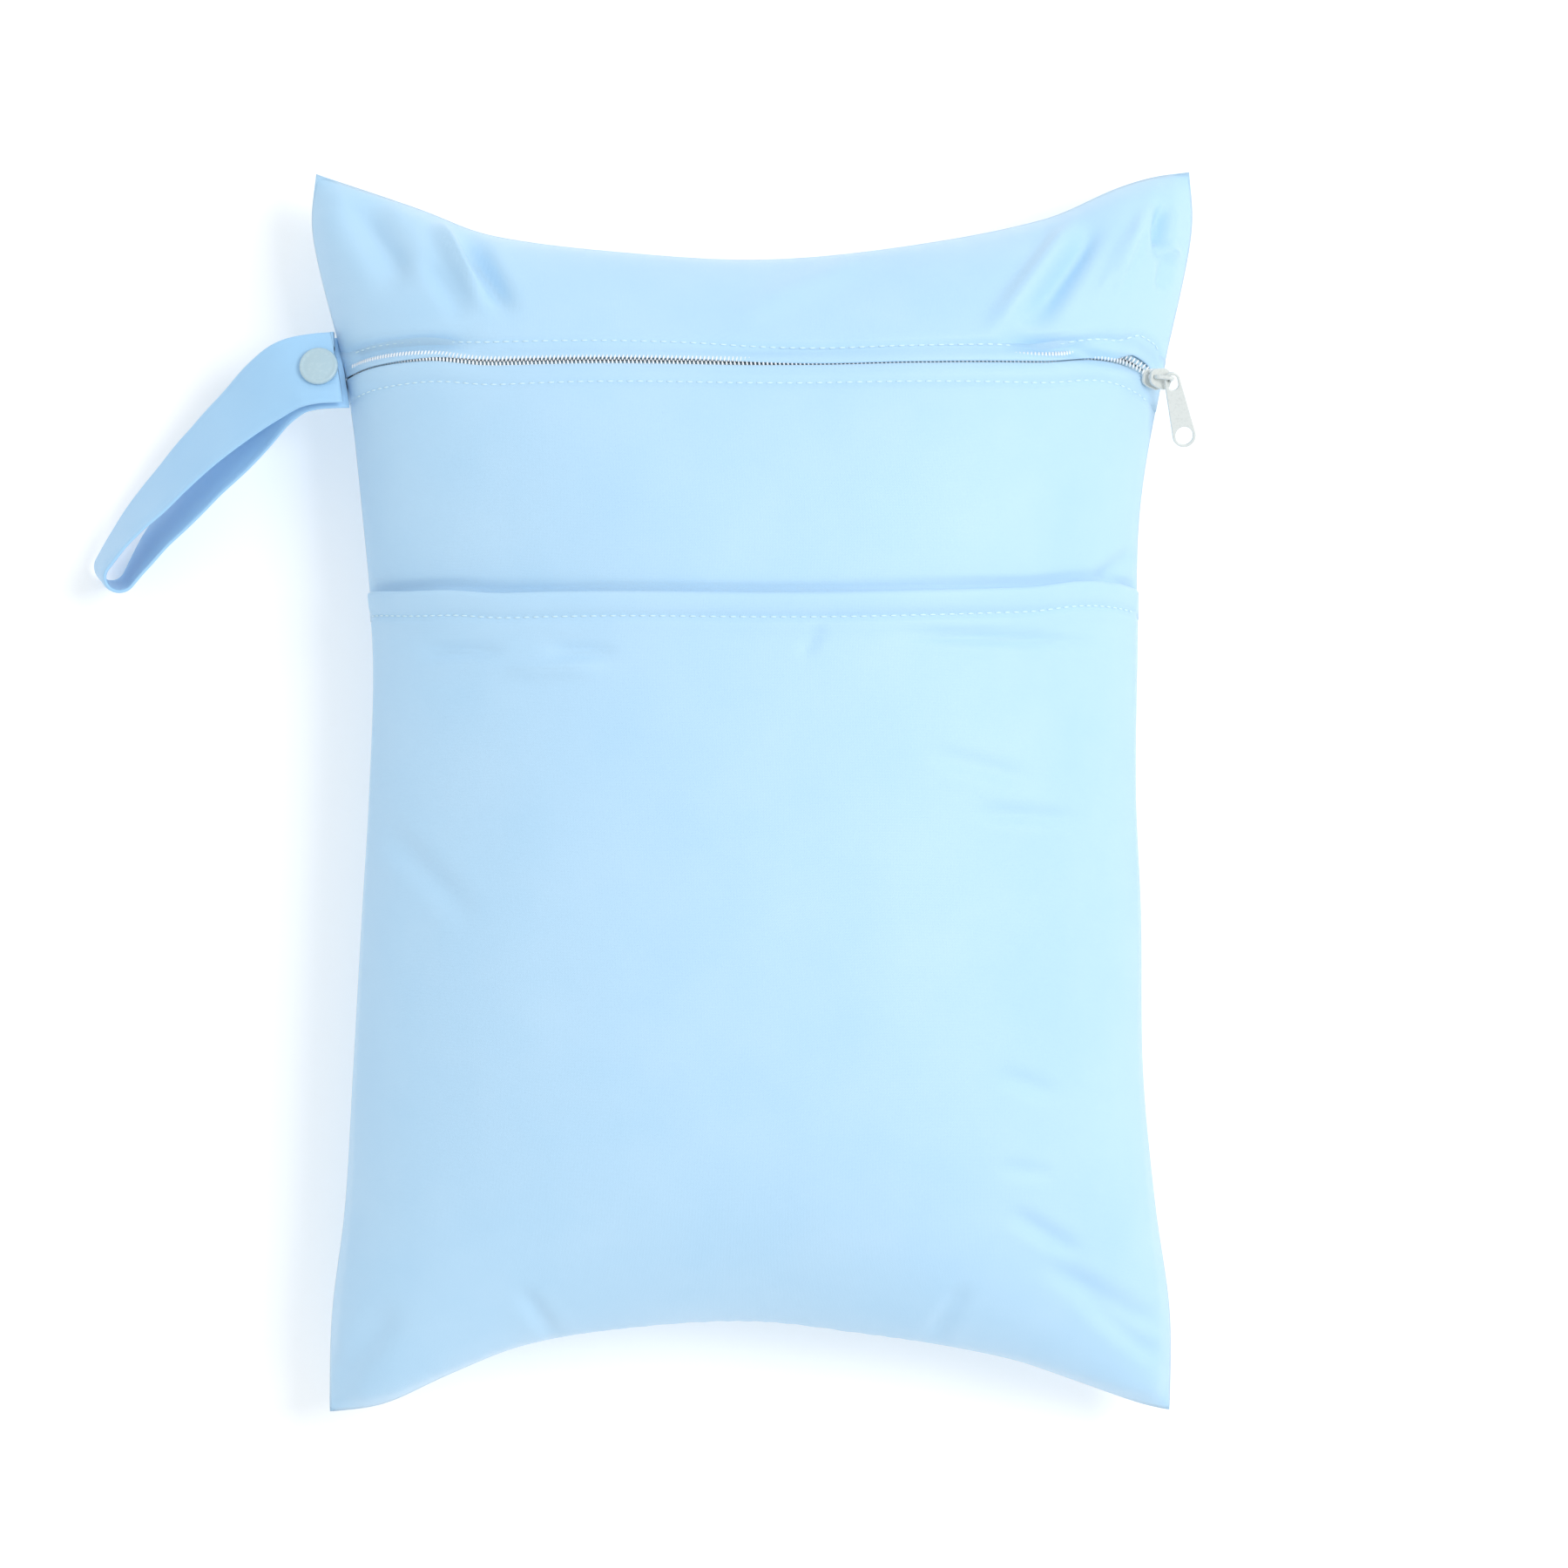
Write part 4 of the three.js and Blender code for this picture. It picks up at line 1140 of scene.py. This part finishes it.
@dataclass
class ZipperBand:
    """The zipper's two tapes and its coil."""

    form: BagForm
    finishes: Finishes
    tape_end: float = 0.978
    tape_wide_mm: float = 13.0
    tape_height_mm: float = -1.65
    tape_thick: float = 0.0006
    coil_height_mm: float = -1.05
    coil_rise_mm: float = 0.65
    coil_drop_mm: float = 0.7
    coil_pitch_mm: float = 1.27
    coil_half_mm: float = 1.1
    turn_overlap_mm: float = 0.25
    turn_half_thick_mm: float = 0.34
    turn_half_high_mm: float = 0.6
    turn_lean: float = 0.18

    def tape(self, name: str, way: int, node: str) -> None:
        """Makes one tape.

        Args:
            name: Name of the piece.
            way: 1 above the zipper and -1 below it.
            node: Node that it stands for.
        """
        u = np.linspace(-self.tape_end, self.tape_end, 121)
        near = 0.35 - 0.1 * Zipper.mouth(u)
        rows = [
            Zipper.line(u) + way * (near + self.tape_wide_mm * t) / Zipper.half_rise_mm
            for t in np.linspace(0, 1, 9)
        ]
        v = np.array(rows)
        uu = np.broadcast_to(u, v.shape)
        points = self.form.place(uu, v, np.full(v.shape, self.tape_height_mm), Side.FRONT)
        run = np.linspace(0, self.tape_wide_mm * MM, 9)[:, None]
        uv = np.stack([uu * 0.149, np.broadcast_to(run, v.shape)], axis=-1)
        piece = grid_piece(name, points, uv, flip=way < 0)
        wall = piece.modifiers.new("tape_thickness", "SOLIDIFY")
        wall.thickness = self.tape_thick
        wall.offset = -1
        dress(piece, self.finishes.tape, BAG, [node])

    def coil_line(self) -> tuple[np.ndarray, np.ndarray]:
        """The coil's middle line, in the cloth and then up into the slider, and its up ways."""
        u = np.linspace(-self.tape_end, Zipper.coil_leaves - 0.02, 900)
        height = self.coil_height_mm + self.coil_rise_mm * Zipper.bare(u)
        v = Zipper.line(u) - self.coil_drop_mm * Zipper.bare(u) / Zipper.half_rise_mm
        in_cloth = self.form.place(u, v, height, Side.FRONT)
        ups = self.form.normal(u, Zipper.line(u), Side.FRONT)
        slider = np.array(SLIDER_MIDDLE)
        lead = np.linspace(0, 1, 60)[1:, None]
        start, ahead = in_cloth[-1], in_cloth[-1] - in_cloth[-8]
        reach = np.linalg.norm(slider - start)
        bend = start + ahead / np.linalg.norm(ahead) * reach * 0.45 + np.array([0, 0, 0.002])
        curve = (1 - lead) ** 2 * start + 2 * lead * (1 - lead) * bend + lead**2 * slider
        more = np.broadcast_to(ups[-1], curve.shape)
        return np.vstack([in_cloth, curve]), np.vstack([ups, more])

    def build_coil(self) -> None:
        """Makes the two rows of meshed coil turns."""
        line, ups = self.coil_line()
        run = np.concatenate([[0], np.cumsum(np.linalg.norm(np.diff(line, axis=0), axis=1))])
        bm = bmesh.new()
        count = int(run[-1] / MM / self.coil_pitch_mm)
        for k in range(2 * count):
            at = (k / 2 + 0.3) * self.coil_pitch_mm * MM
            side = 1 if k % 2 else -1
            i = int(np.clip(np.searchsorted(run, at), 1, len(run) - 2))
            way = Vector(line[i + 1] - line[i - 1]).normalized()
            level = Vector(ups[i]).cross(way).normalized()
            lean = (level * side + way * self.turn_lean).normalized()
            up = way.cross(level).normalized()
            along = lean.cross(up).normalized()
            middle = Vector([np.interp(at, run, line[:, n]) for n in range(3)])
            middle += level * side * (self.coil_half_mm - self.turn_overlap_mm) * MM
            turn = Matrix((lean, along, up)).transposed().to_4x4()
            half = (self.coil_half_mm, self.turn_half_thick_mm, self.turn_half_high_mm)
            size = Matrix.Diagonal((*(axis * MM for axis in half), 1))
            spot = Matrix.Translation(middle) @ turn @ size
            bmesh.ops.create_uvsphere(bm, u_segments=6, v_segments=6, radius=1, matrix=spot)
        piece = finish_piece("zipper_coil_turns", bm)
        dress(piece, self.finishes.coil, BAG, ["zipper_coil"])

    def build(self) -> None:
        """Makes the whole band."""
        self.tape("upper_zipper_tape", 1, "zipper_tape_upper")
        self.tape("lower_zipper_tape", -1, "zipper_tape_lower")
        self.build_coil()


def tube_points(path: np.ndarray, radius: float, sides: int, square: float = 1.0) -> np.ndarray:
    """Points of a round rod along a path.

    Args:
        path: Points of its middle line, in metres.
        radius: Half its width.
        sides: Points round it.
        square: Power of its section: 1 is round and less is nearer to a square.

    Returns:
        Points by row along and column round, with the first column again at the end.
    """
    ways = np.gradient(path, axis=0)
    ways /= np.linalg.norm(ways, axis=1, keepdims=True)
    spread = np.cross(path[-1] - path[0], path[len(path) // 2] - path[0])
    across = spread / np.linalg.norm(spread)
    angles = np.linspace(0, 2 * math.pi, sides + 1)
    c, s = np.cos(angles), np.sin(angles)
    c, s = np.sign(c) * np.abs(c) ** square, np.sign(s) * np.abs(s) ** square
    other = np.cross(ways, across)
    other /= np.linalg.norm(other, axis=1, keepdims=True)
    ring = c[None, :, None] * across[None, None, :] + s[None, :, None] * other[:, None, :]
    ring[:, -1] = ring[:, 0]
    return path[:, None, :] + radius * ring


@dataclass
class ZipperPull:
    """The slider with its bail, and the pull that hangs on the bail's outer leg."""

    finishes: Finishes
    leg: tuple[float, float, float] = (0.133781, 0.131649, 0.050424)
    turn_deg: float = -6.0
    tilt_deg: float = 40.0
    slider_long_mm: float = 9.0
    slider_wide_mm: float = 7.0
    slider_wall_mm: float = 1.1
    slider_slot_mm: float = 2.3
    bail_rod_mm: float = 1.3
    bail_gap_mm: float = 3.5
    bail_inner_mm: float = -2.6
    bail_outer_mm: float = 3.8
    bail_bend_mm: float = 0.9
    bail_sink_mm: float = 0.5
    pull_long_mm: float = 24.6
    pull_thick_mm: float = 1.2
    pull_top_mm: float = 5.0
    pull_tip_mm: float = 7.5
    pull_droop_deg: float = 14.0
    pull_turn_deg: float = 14.0
    eye_wide_mm: float = 3.4
    eye_long_mm: float = 4.8
    tip_hole_mm: float = 5.6
    pull_rim_mm: float = 1.0
    pull_seat_mm: float = 0.3

    def ways(self) -> tuple[Vector, Vector, Vector, Vector]:
        """The bail's level way, the side way, and the slider's own way and normal."""
        turn, tilt = math.radians(self.turn_deg), math.radians(self.tilt_deg)
        bar = Vector((math.cos(turn), math.sin(turn), 0))
        side = Vector((-math.sin(turn), math.cos(turn), 0))
        way = bar * math.cos(tilt) - Vector((0, 0, 1)) * math.sin(tilt)
        return bar, side, way, way.cross(side)

    def plate(self, bm: bmesh.types.BMesh, up_mm: float) -> None:
        """Adds one plate of the slider: wide at its mouths and rounded at its nose.

        Args:
            bm: The slider's mesh, in its own frame in mm.
            up_mm: Height of the plate's middle.
        """
        half, wide = self.slider_long_mm / 2, self.slider_wide_mm
        made = bmesh.ops.create_circle(bm, cap_ends=True, segments=48, radius=1)
        for vert in made["verts"]:
            c, s = vert.co.x, vert.co.y
            x = half * math.copysign(abs(c) ** 0.75, c)
            waist = 0.36 + 0.14 * min(1.0, (x + half) / (1.35 * half))
            y = wide * waist * math.copysign(abs(s) ** (0.62 if c > 0 else 0.4), s)
            vert.co = (x, y, up_mm - self.slider_wall_mm / 2)
        faces = list({f for v in made["verts"] for f in v.link_faces})
        out = bmesh.ops.extrude_face_region(bm, geom=faces)["geom"]
        raised = [v for v in out if isinstance(v, bmesh.types.BMVert)]
        bmesh.ops.translate(bm, verts=raised, vec=(0, 0, self.slider_wall_mm))

    def build_slider(self) -> None:
        """Makes the slider's two plates, its post and its bail."""
        bar, side, way, normal = self.ways()
        bm = bmesh.new()
        up = (self.slider_slot_mm + self.slider_wall_mm) / 2
        self.plate(bm, up)
        self.plate(bm, -up)
        bmesh.ops.recalc_face_normals(bm, faces=bm.faces)
        sharp = [e for e in bm.edges if e.calc_face_angle(0) > 0.9]
        bmesh.ops.bevel(bm, geom=sharp, offset=0.3, segments=3, profile=0.5, affect="EDGES",
                        material=-1)
        post = bmesh.ops.create_cone(
            bm, cap_ends=True, segments=20, radius1=1, radius2=1,
            depth=self.slider_slot_mm + self.slider_wall_mm,
            matrix=Matrix.Translation((self.slider_long_mm * 0.28, 0, 0)),
        )["verts"]
        for vert in post:
            vert.co.y *= 1.4
        basis = Matrix((way, side, normal)).transposed().to_4x4()
        local = Matrix.Translation(SLIDER_MIDDLE) @ basis @ Matrix.Scale(MM, 4)
        bmesh.ops.transform(bm, verts=bm.verts, matrix=local)
        piece = finish_piece("slider_body", bm, smooth=False)
        dress(piece, self.finishes.metal, BAG, ["zipper_slider"])
        plate_top = (self.slider_slot_mm / 2 + self.slider_wall_mm) * MM
        middle = Vector(SLIDER_MIDDLE) + normal * plate_top
        middle += Vector((0, 0, self.bail_gap_mm * MM))
        rod = self.bail_rod_mm / 2
        inner, outer = self.bail_inner_mm + rod, self.bail_outer_mm - rod
        dip = math.tan(math.radians(self.tilt_deg))
        bend = self.bail_bend_mm
        arc = [k / 8 * math.pi / 2 for k in range(1, 8)]
        path = [(inner, -self.bail_gap_mm - inner * dip - self.bail_sink_mm), (inner, -bend)]
        path += [
            (inner + bend * (1 - math.cos(a)), -bend + bend * math.sin(a)) for a in arc
        ]
        path += [(inner + bend, 0), (outer - bend, 0)]
        path += [
            (outer - bend * (1 - math.sin(a)), -bend * (1 - math.cos(a))) for a in arc
        ]
        path += [(outer, -bend), (outer, -self.bail_gap_mm - outer * dip - self.bail_sink_mm)]
        line = np.array([middle + bar * (x * MM) + Vector((0, 0, z * MM)) for x, z in path])
        hoop = grid_piece("slider_bail", tube_points(line, rod * MM, 16, 0.8), ring=True)
        dress(hoop, self.finishes.metal, BAG)

    def build_pull(self) -> None:
        """Makes the pull: a flat plate with an eye and a round hole at its tip."""
        rod = self.bail_rod_mm / 2
        eye_top = rod * math.sqrt(2) + self.pull_seat_mm
        top = eye_top + self.pull_rim_mm
        tip_radius = self.pull_tip_mm / 2
        tip_middle = top - self.pull_long_mm + tip_radius
        top_radius = self.pull_top_mm / 2
        eye_radius = self.eye_wide_mm / 2
        outline = self.capsule(top - top_radius, top_radius, tip_middle, tip_radius, 64)
        eye = self.capsule(eye_top - eye_radius, eye_radius,
                           eye_top - self.eye_long_mm + eye_radius, eye_radius, 32)
        hole = self.capsule(tip_middle, self.tip_hole_mm / 2, tip_middle, self.tip_hole_mm / 2, 40)
        bm = bmesh.new()
        for loop in (outline, eye, hole):
            made = bmesh.ops.create_circle(bm, cap_ends=False, segments=len(loop), radius=1)
            for vert, spot in zip(made["verts"], loop):
                vert.co = (spot[0], spot[1], -self.pull_thick_mm / 2)
        bmesh.ops.triangle_fill(bm, use_beauty=True, use_dissolve=False, edges=bm.edges)
        out = bmesh.ops.extrude_face_region(bm, geom=list(bm.faces))["geom"]
        raised = [v for v in out if isinstance(v, bmesh.types.BMVert)]
        bmesh.ops.translate(bm, verts=raised, vec=(0, 0, self.pull_thick_mm))
        bmesh.ops.recalc_face_normals(bm, faces=bm.faces)
        sharp = [e for e in bm.edges if e.calc_face_angle(0) > 0.9]
        bmesh.ops.bevel(bm, geom=sharp, offset=0.28, segments=3, profile=0.5, affect="EDGES",
                        material=-1)
        local = (
            Matrix.Translation(self.leg)
            @ Matrix.Rotation(math.radians(self.pull_turn_deg), 4, "Z")
            @ Matrix.Rotation(math.radians(self.pull_droop_deg), 4, "X")
            @ Matrix.Scale(MM, 4)
        )
        bmesh.ops.transform(bm, verts=bm.verts, matrix=local)
        piece = finish_piece("pull_plate", bm, smooth=False)
        dress(piece, self.finishes.metal, PULL, ["zipper_pull"])

    @staticmethod
    def capsule(y0: float, r0: float, y1: float, r1: float, count: int) -> list[tuple[float, float]]:
        """A loop of two half circles about (0, y0) and (0, y1).

        Args:
            y0: Middle of the upper half circle.
            r0: Its radius.
            y1: Middle of the lower half circle.
            r1: Its radius.
            count: Points in the loop.

        Returns:
            The points, in order.
        """
        half = count // 2
        upper = [(r0 * math.cos(a), y0 + r0 * math.sin(a))
                 for a in (math.pi * (k + 0.5) / half for k in range(half))]
        lower = [(-r1 * math.cos(a), y1 - r1 * math.sin(a))
                 for a in (math.pi * (k + 0.5) / half for k in range(half))]
        return upper + lower


CAP_SECTION = (
    (0, -1.6), (1.3, -1.6), (1.3, 0.45), (5.8, 0.45), (6.05, 0.5), (6.2, 0.7), (6.2, 1.1),
    (6.12, 1.45), (5.9, 1.72), (5.55, 1.84), (5.2, 1.82), (4.9, 1.72), (4.6, 1.74), (3.6, 1.95),
    (2.4, 2.1), (1.2, 2.18), (0, 2.2),
)


@dataclass
class HangingStrap:
    """The doubled strap: sewn at the side seam, turned back on itself and snapped shut."""

    form: BagForm
    finishes: Finishes
    wide_mm: float = 24.0
    thick_mm: float = 1.6
    reach_mm: float = 85.0
    fall_mm: float = 64.0
    open_mm: float = 10.0
    stack_mm: float = 5.0
    seat_mm: float = 136.0
    layer_steps: int = 90
    turn_steps: int = 16
    around: int = 44
    snap_out_mm: float = 7.5
    route: tuple[tuple[float, float, float, float, float], ...] = (
        (0.0, -0.01, 1.0, 15, 0.0), (0.1, 0.0, 1.0, 15, 0.0), (0.19, 0.03, 0.98, 15, 0.0),
        (0.28, 0.1, 0.87, 24, 0.12), (0.38, 0.2, 0.68, 35, 0.7), (0.49, 0.32, 0.5, 43, 1.0),
        (0.6, 0.45, 0.35, 49, 1.0), (0.71, 0.6, 0.22, 54, 1.0), (0.81, 0.73, 0.12, 60, 1.0),
        (0.88, 0.84, 0.05, 65, 1.0), (0.94, 0.95, 0.0, 69, 1.0),
    )

    def column(self, index: int, share: float) -> float:
        """Reads one column of the route at a share of its length."""
        steps = len(self.route) - 1
        curve = Curve(tuple((i / steps, row[index]) for i, row in enumerate(self.route)))
        return float(curve.read(np.array([share]))[0])

    def seam_place(self) -> Vector:
        """Where the strap is sewn, in mm."""
        v = np.array([self.seat_mm / self.form.half_rise_mm])
        x, y = self.form.plan(np.array([-1.0]), v)
        return Vector((x[0], y[0], self.form.seam(np.array([-1.0]), v)[0]))

    def front_layer(self, share: float) -> tuple[Vector, float, float]:
        """Middle of the front layer, its tilt in radians and the gap to the rear layer, in mm."""
        out, fall, height, tilt, opened = (self.column(i, share) for i in range(5))
        tilt = math.radians(tilt)
        gap = self.stack_mm + (self.open_mm - self.stack_mm) * opened
        lying = self.wide_mm / 2 * math.sin(tilt) + gap * math.cos(tilt) + self.thick_mm / 2
        seam = self.seam_place()
        sewn = seam.z + self.stack_mm
        point = Vector((seam.x - 1.5 - out * self.reach_mm, seam.y - fall * self.fall_mm,
                        lying + (sewn - lying) * height))
        return point, tilt, gap

    def frame(self, share: float) -> tuple[Vector, Vector, Vector, Vector, float]:
        """Point, way, width way, face way and gap of the front layer, in mm."""
        point, tilt, gap = self.front_layer(share)
        ahead = self.front_layer(min(1.0, share + 0.02))[0]
        behind = self.front_layer(max(0.0, share - 0.02))[0]
        way = ahead - behind
        way.z = 0
        way.normalize()
        level = Vector((-way.y, way.x, 0))
        width = level * math.cos(tilt) + Vector((0, 0, math.sin(tilt)))
        face = level * -math.sin(tilt) + Vector((0, 0, math.cos(tilt)))
        return point, way, width, face, gap

    def section(self, step: int) -> tuple[Vector, Vector, Vector]:
        """Middle, width way and outward way of one cross section, in mm."""
        past = step - self.layer_steps
        if past <= 0:
            point, _, width, face, gap = self.frame(step / self.layer_steps)
            return point - face * gap, width, -face
        if past >= self.turn_steps:
            point, _, width, face, _ = self.frame(1 - (past - self.turn_steps) / self.layer_steps)
            return point, width, face
        point, way, width, face, gap = self.frame(1.0)
        angle = past / self.turn_steps * math.pi
        out = face * -math.cos(angle) + way * math.sin(angle)
        return point - face * gap / 2 + out * gap / 2, width, out

    def build_strap(self) -> None:
        """Makes the ribbon with its soft folded edges."""
        steps = self.layer_steps * 2 + self.turn_steps
        angles = np.linspace(0, 2 * math.pi, self.around + 1)
        wide = np.sign(np.cos(angles)) * np.abs(np.cos(angles)) ** 0.35 * self.wide_mm / 2
        high = np.sign(np.sin(angles)) * np.abs(np.sin(angles)) ** 0.5 * self.thick_mm / 2
        high *= 1 - 0.16 * np.exp(-(((np.abs(wide) - 9.6) / 0.7) ** 2))
        points = np.zeros((steps + 1, self.around + 1, 3))
        uv = np.zeros((steps + 1, self.around + 1, 2))
        run, last = 0.0, None
        for step in range(steps + 1):
            middle, width, out = self.section(step)
            run += 0.0 if last is None else (middle - last).length
            last = middle
            sway = 0.5 * noise.noise(Vector((run / 17, 0.3, 5.5)))
            for k in range(self.around + 1):
                ripple = 0.35 * noise.noise(Vector((run / 12, wide[k] / 9, 1.7))) + sway * (
                    wide[k] / self.wide_mm)
                spot = middle - width * wide[k] + out * (high[k] + ripple)
                edge = self.edge_at(spot.y)
                if step == 0:
                    spot.x = edge - 0.1
                if step == steps:
                    spot.x = edge - 1.5
                points[step, k] = spot * MM
                uv[step, k] = (wide[k] * MM, run * MM)
        points[:, -1] = points[:, 0]
        piece = grid_piece("strap_ribbon", points, uv, ring=True)
        dress(piece, self.finishes.strap, BAG, ["hanging_strap"])
        log.info("strap is %.0f mm long", run)

    def edge_at(self, y_mm: float) -> float:
        """The left side seam's x at a height up the bag, in mm."""
        v = np.array([max(-1.0, min(1.0, y_mm / self.form.half_rise_mm))])
        return float(self.form.plan(np.array([-1.0]), v)[0][0])

    def snap_frame(self) -> Matrix:
        """The snap's own frame on the front layer: its axis is Z."""
        seam = self.seam_place()
        near, far = 0.0, 1.0
        for _ in range(30):
            middle = (near + far) / 2
            if seam.x - self.front_layer(middle)[0].x < self.snap_out_mm:
                near = middle
            else:
                far = middle
        point, way, _, face, _ = self.frame(near)
        basis = Matrix((way, face.cross(way), face)).transposed().to_4x4()
        return Matrix.Translation(point * MM) @ basis @ Matrix.Scale(MM, 4)

    def turned(self, name: str, profile: Sequence[tuple[float, float]], node: str,
               frame: Matrix) -> None:
        """Makes one round snap piece.

        Args:
            name: Name of the piece.
            profile: Radius and height of its section, in mm, from axis to axis.
            node: Node that it stands for.
            frame: The snap's frame.
        """
        bm = bmesh.new()
        verts = [bm.verts.new((radius, 0, height)) for radius, height in profile]
        edges = [bm.edges.new(pair) for pair in zip(verts, verts[1:])]
        bmesh.ops.spin(bm, geom=verts + edges, cent=(0, 0, 0), axis=(0, 0, 1), angle=2 * math.pi,
                       steps=48, use_merge=True)
        bmesh.ops.remove_doubles(bm, verts=bm.verts, dist=1e-4)
        bmesh.ops.recalc_face_normals(bm, faces=bm.faces)
        bmesh.ops.transform(bm, verts=bm.verts, matrix=frame)
        piece = finish_piece(name, bm)
        dress(piece, self.finishes.snap, BAG, [node])

    def build_snap(self) -> None:
        """Makes the snap's cap, socket, stud and rear cap."""
        frame = self.snap_frame()
        top = self.thick_mm / 2
        rear = -self.stack_mm
        front_cap = [(radius, top + rise) for radius, rise in CAP_SECTION]
        self.turned("snap_cap_disc", front_cap, "snap_cap", frame)
        foot = -top - 2.0
        self.turned("snap_socket_ring", [
            (0, -top - 1.3), (2.2, -top - 1.3), (2.2, foot), (2.6, foot), (4.0, foot),
            (4.35, foot + 0.12), (4.5, foot + 0.45), (4.5, -top - 0.5), (4.3, -top - 0.3),
            (1.6, -top - 0.3), (1.6, -top - 0.9), (0, -top - 0.9),
        ], "snap_socket", frame)
        seat = rear + top + 0.3
        self.turned("snap_stud_ring", [
            (0, seat), (4.3, seat), (4.5, seat + 0.15), (4.5, seat + 0.55), (4.25, seat + 0.78),
            (3.9, seat + 0.8), (1.7, seat + 0.8), (1.6, seat + 0.95), (1.6, seat + 1.15),
            (1.9, seat + 1.35), (1.85, seat + 1.55), (1.5, seat + 1.6), (0, seat + 1.6),
        ], "snap_stud", frame)
        back = rear - top
        rear_section = CAP_SECTION[:-2] + CAP_SECTION[-1:]
        rear_cap = [(radius, back - rise) for radius, rise in rear_section]
        self.turned("snap_rear_disc", rear_cap, "snap_cap_back", frame)


@dataclass
class Studio:
    """Floor, light and camera."""

    lens_mm: float = 85.7
    camera_at: tuple[float, float, float] = (0.0104, 0.0028, 1.238)
    floor_half: float = 4.0
    world_level: float = 0.83
    world_tint: tuple[float, float, float] = (0.93, 0.97, 1.0)
    lamp_tint: tuple[float, float, float] = (1.0, 0.97, 0.93)
    floor_glow: float = 0.2

    def build_camera(self) -> None:
        """Sets the camera straight over the bag."""
        data = bpy.data.cameras.new("camera")
        data.lens = self.lens_mm
        data.sensor_width = 36.0
        camera = bpy.data.objects.new("camera", data)
        camera.location = self.camera_at
        bpy.context.scene.collection.objects.link(camera)
        bpy.context.scene.camera = camera

    def build_floor(self) -> None:
        """Lays the pale floor."""
        bm = bmesh.new()
        bmesh.ops.create_grid(bm, x_segments=4, y_segments=4, size=self.floor_half)
        floor = finish_piece("floor", bm)
        material = bpy.data.materials.new("pale_floor")
        material.use_nodes = True
        shader = material.node_tree.nodes["Principled BSDF"]
        shader.inputs["Base Color"].default_value = (0.92, 0.92, 0.92, 1)
        shader.inputs["Roughness"].default_value = 0.8
        shader.inputs["Specular IOR Level"].default_value = 0.1
        shader.inputs["Emission Color"].default_value = (1, 1, 1, 1)
        shader.inputs["Emission Strength"].default_value = self.floor_glow
        floor.data.materials.append(material)

    def lamp(self, name: str, at: tuple[float, float, float], size: float, power: float) -> None:
        """Adds a soft lamp that faces the bag.

        Args:
            name: Name of the lamp.
            at: Where it is.
            size: Width of its square face.
            power: Its power in watts.
        """
        data = bpy.data.lights.new(name, "AREA")
        data.size = size
        data.energy = power
        data.color = self.lamp_tint
        lamp = bpy.data.objects.new(name, data)
        lamp.location = at
        lamp.rotation_euler = Vector(at).to_track_quat("Z", "Y").to_euler()
        bpy.context.scene.collection.objects.link(lamp)

    def build_light(self) -> None:
        """Sets an even pale surround and one soft lamp at the upper right."""
        world = bpy.data.worlds.new("surround")
        bpy.context.scene.world = world
        world.use_nodes = True
        level = world.node_tree.nodes["Background"]
        level.inputs["Color"].default_value = (*self.world_tint, 1)
        level.inputs["Strength"].default_value = self.world_level
        self.lamp("upper_right_lamp", (0.75, 0.25, 1.3), 0.55, 8.5)
        bpy.context.scene.view_settings.view_transform = "Standard"


def main() -> None:
    """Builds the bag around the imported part."""
    logging.basicConfig(level=logging.INFO, format="%(message)s")
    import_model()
    studio = Studio()
    studio.build_camera()
    form = BagForm()
    form.settle()
    finishes = Finishes(Patterns())
    finishes.build()
    cloth = BagCloth(form, finishes)
    cloth.build_back()
    cloth.build_middle()
    cloth.build_upper()
    cloth.build_pocket()
    Stitching(form, finishes).build()
    ZipperBand(form, finishes).build()
    pull = ZipperPull(finishes)
    pull.build_slider()
    pull.build_pull()
    strap = HangingStrap(form, finishes)
    strap.build_strap()
    strap.build_snap()
    studio.build_floor()
    studio.build_light()


if __name__ == "__main__":
    main()
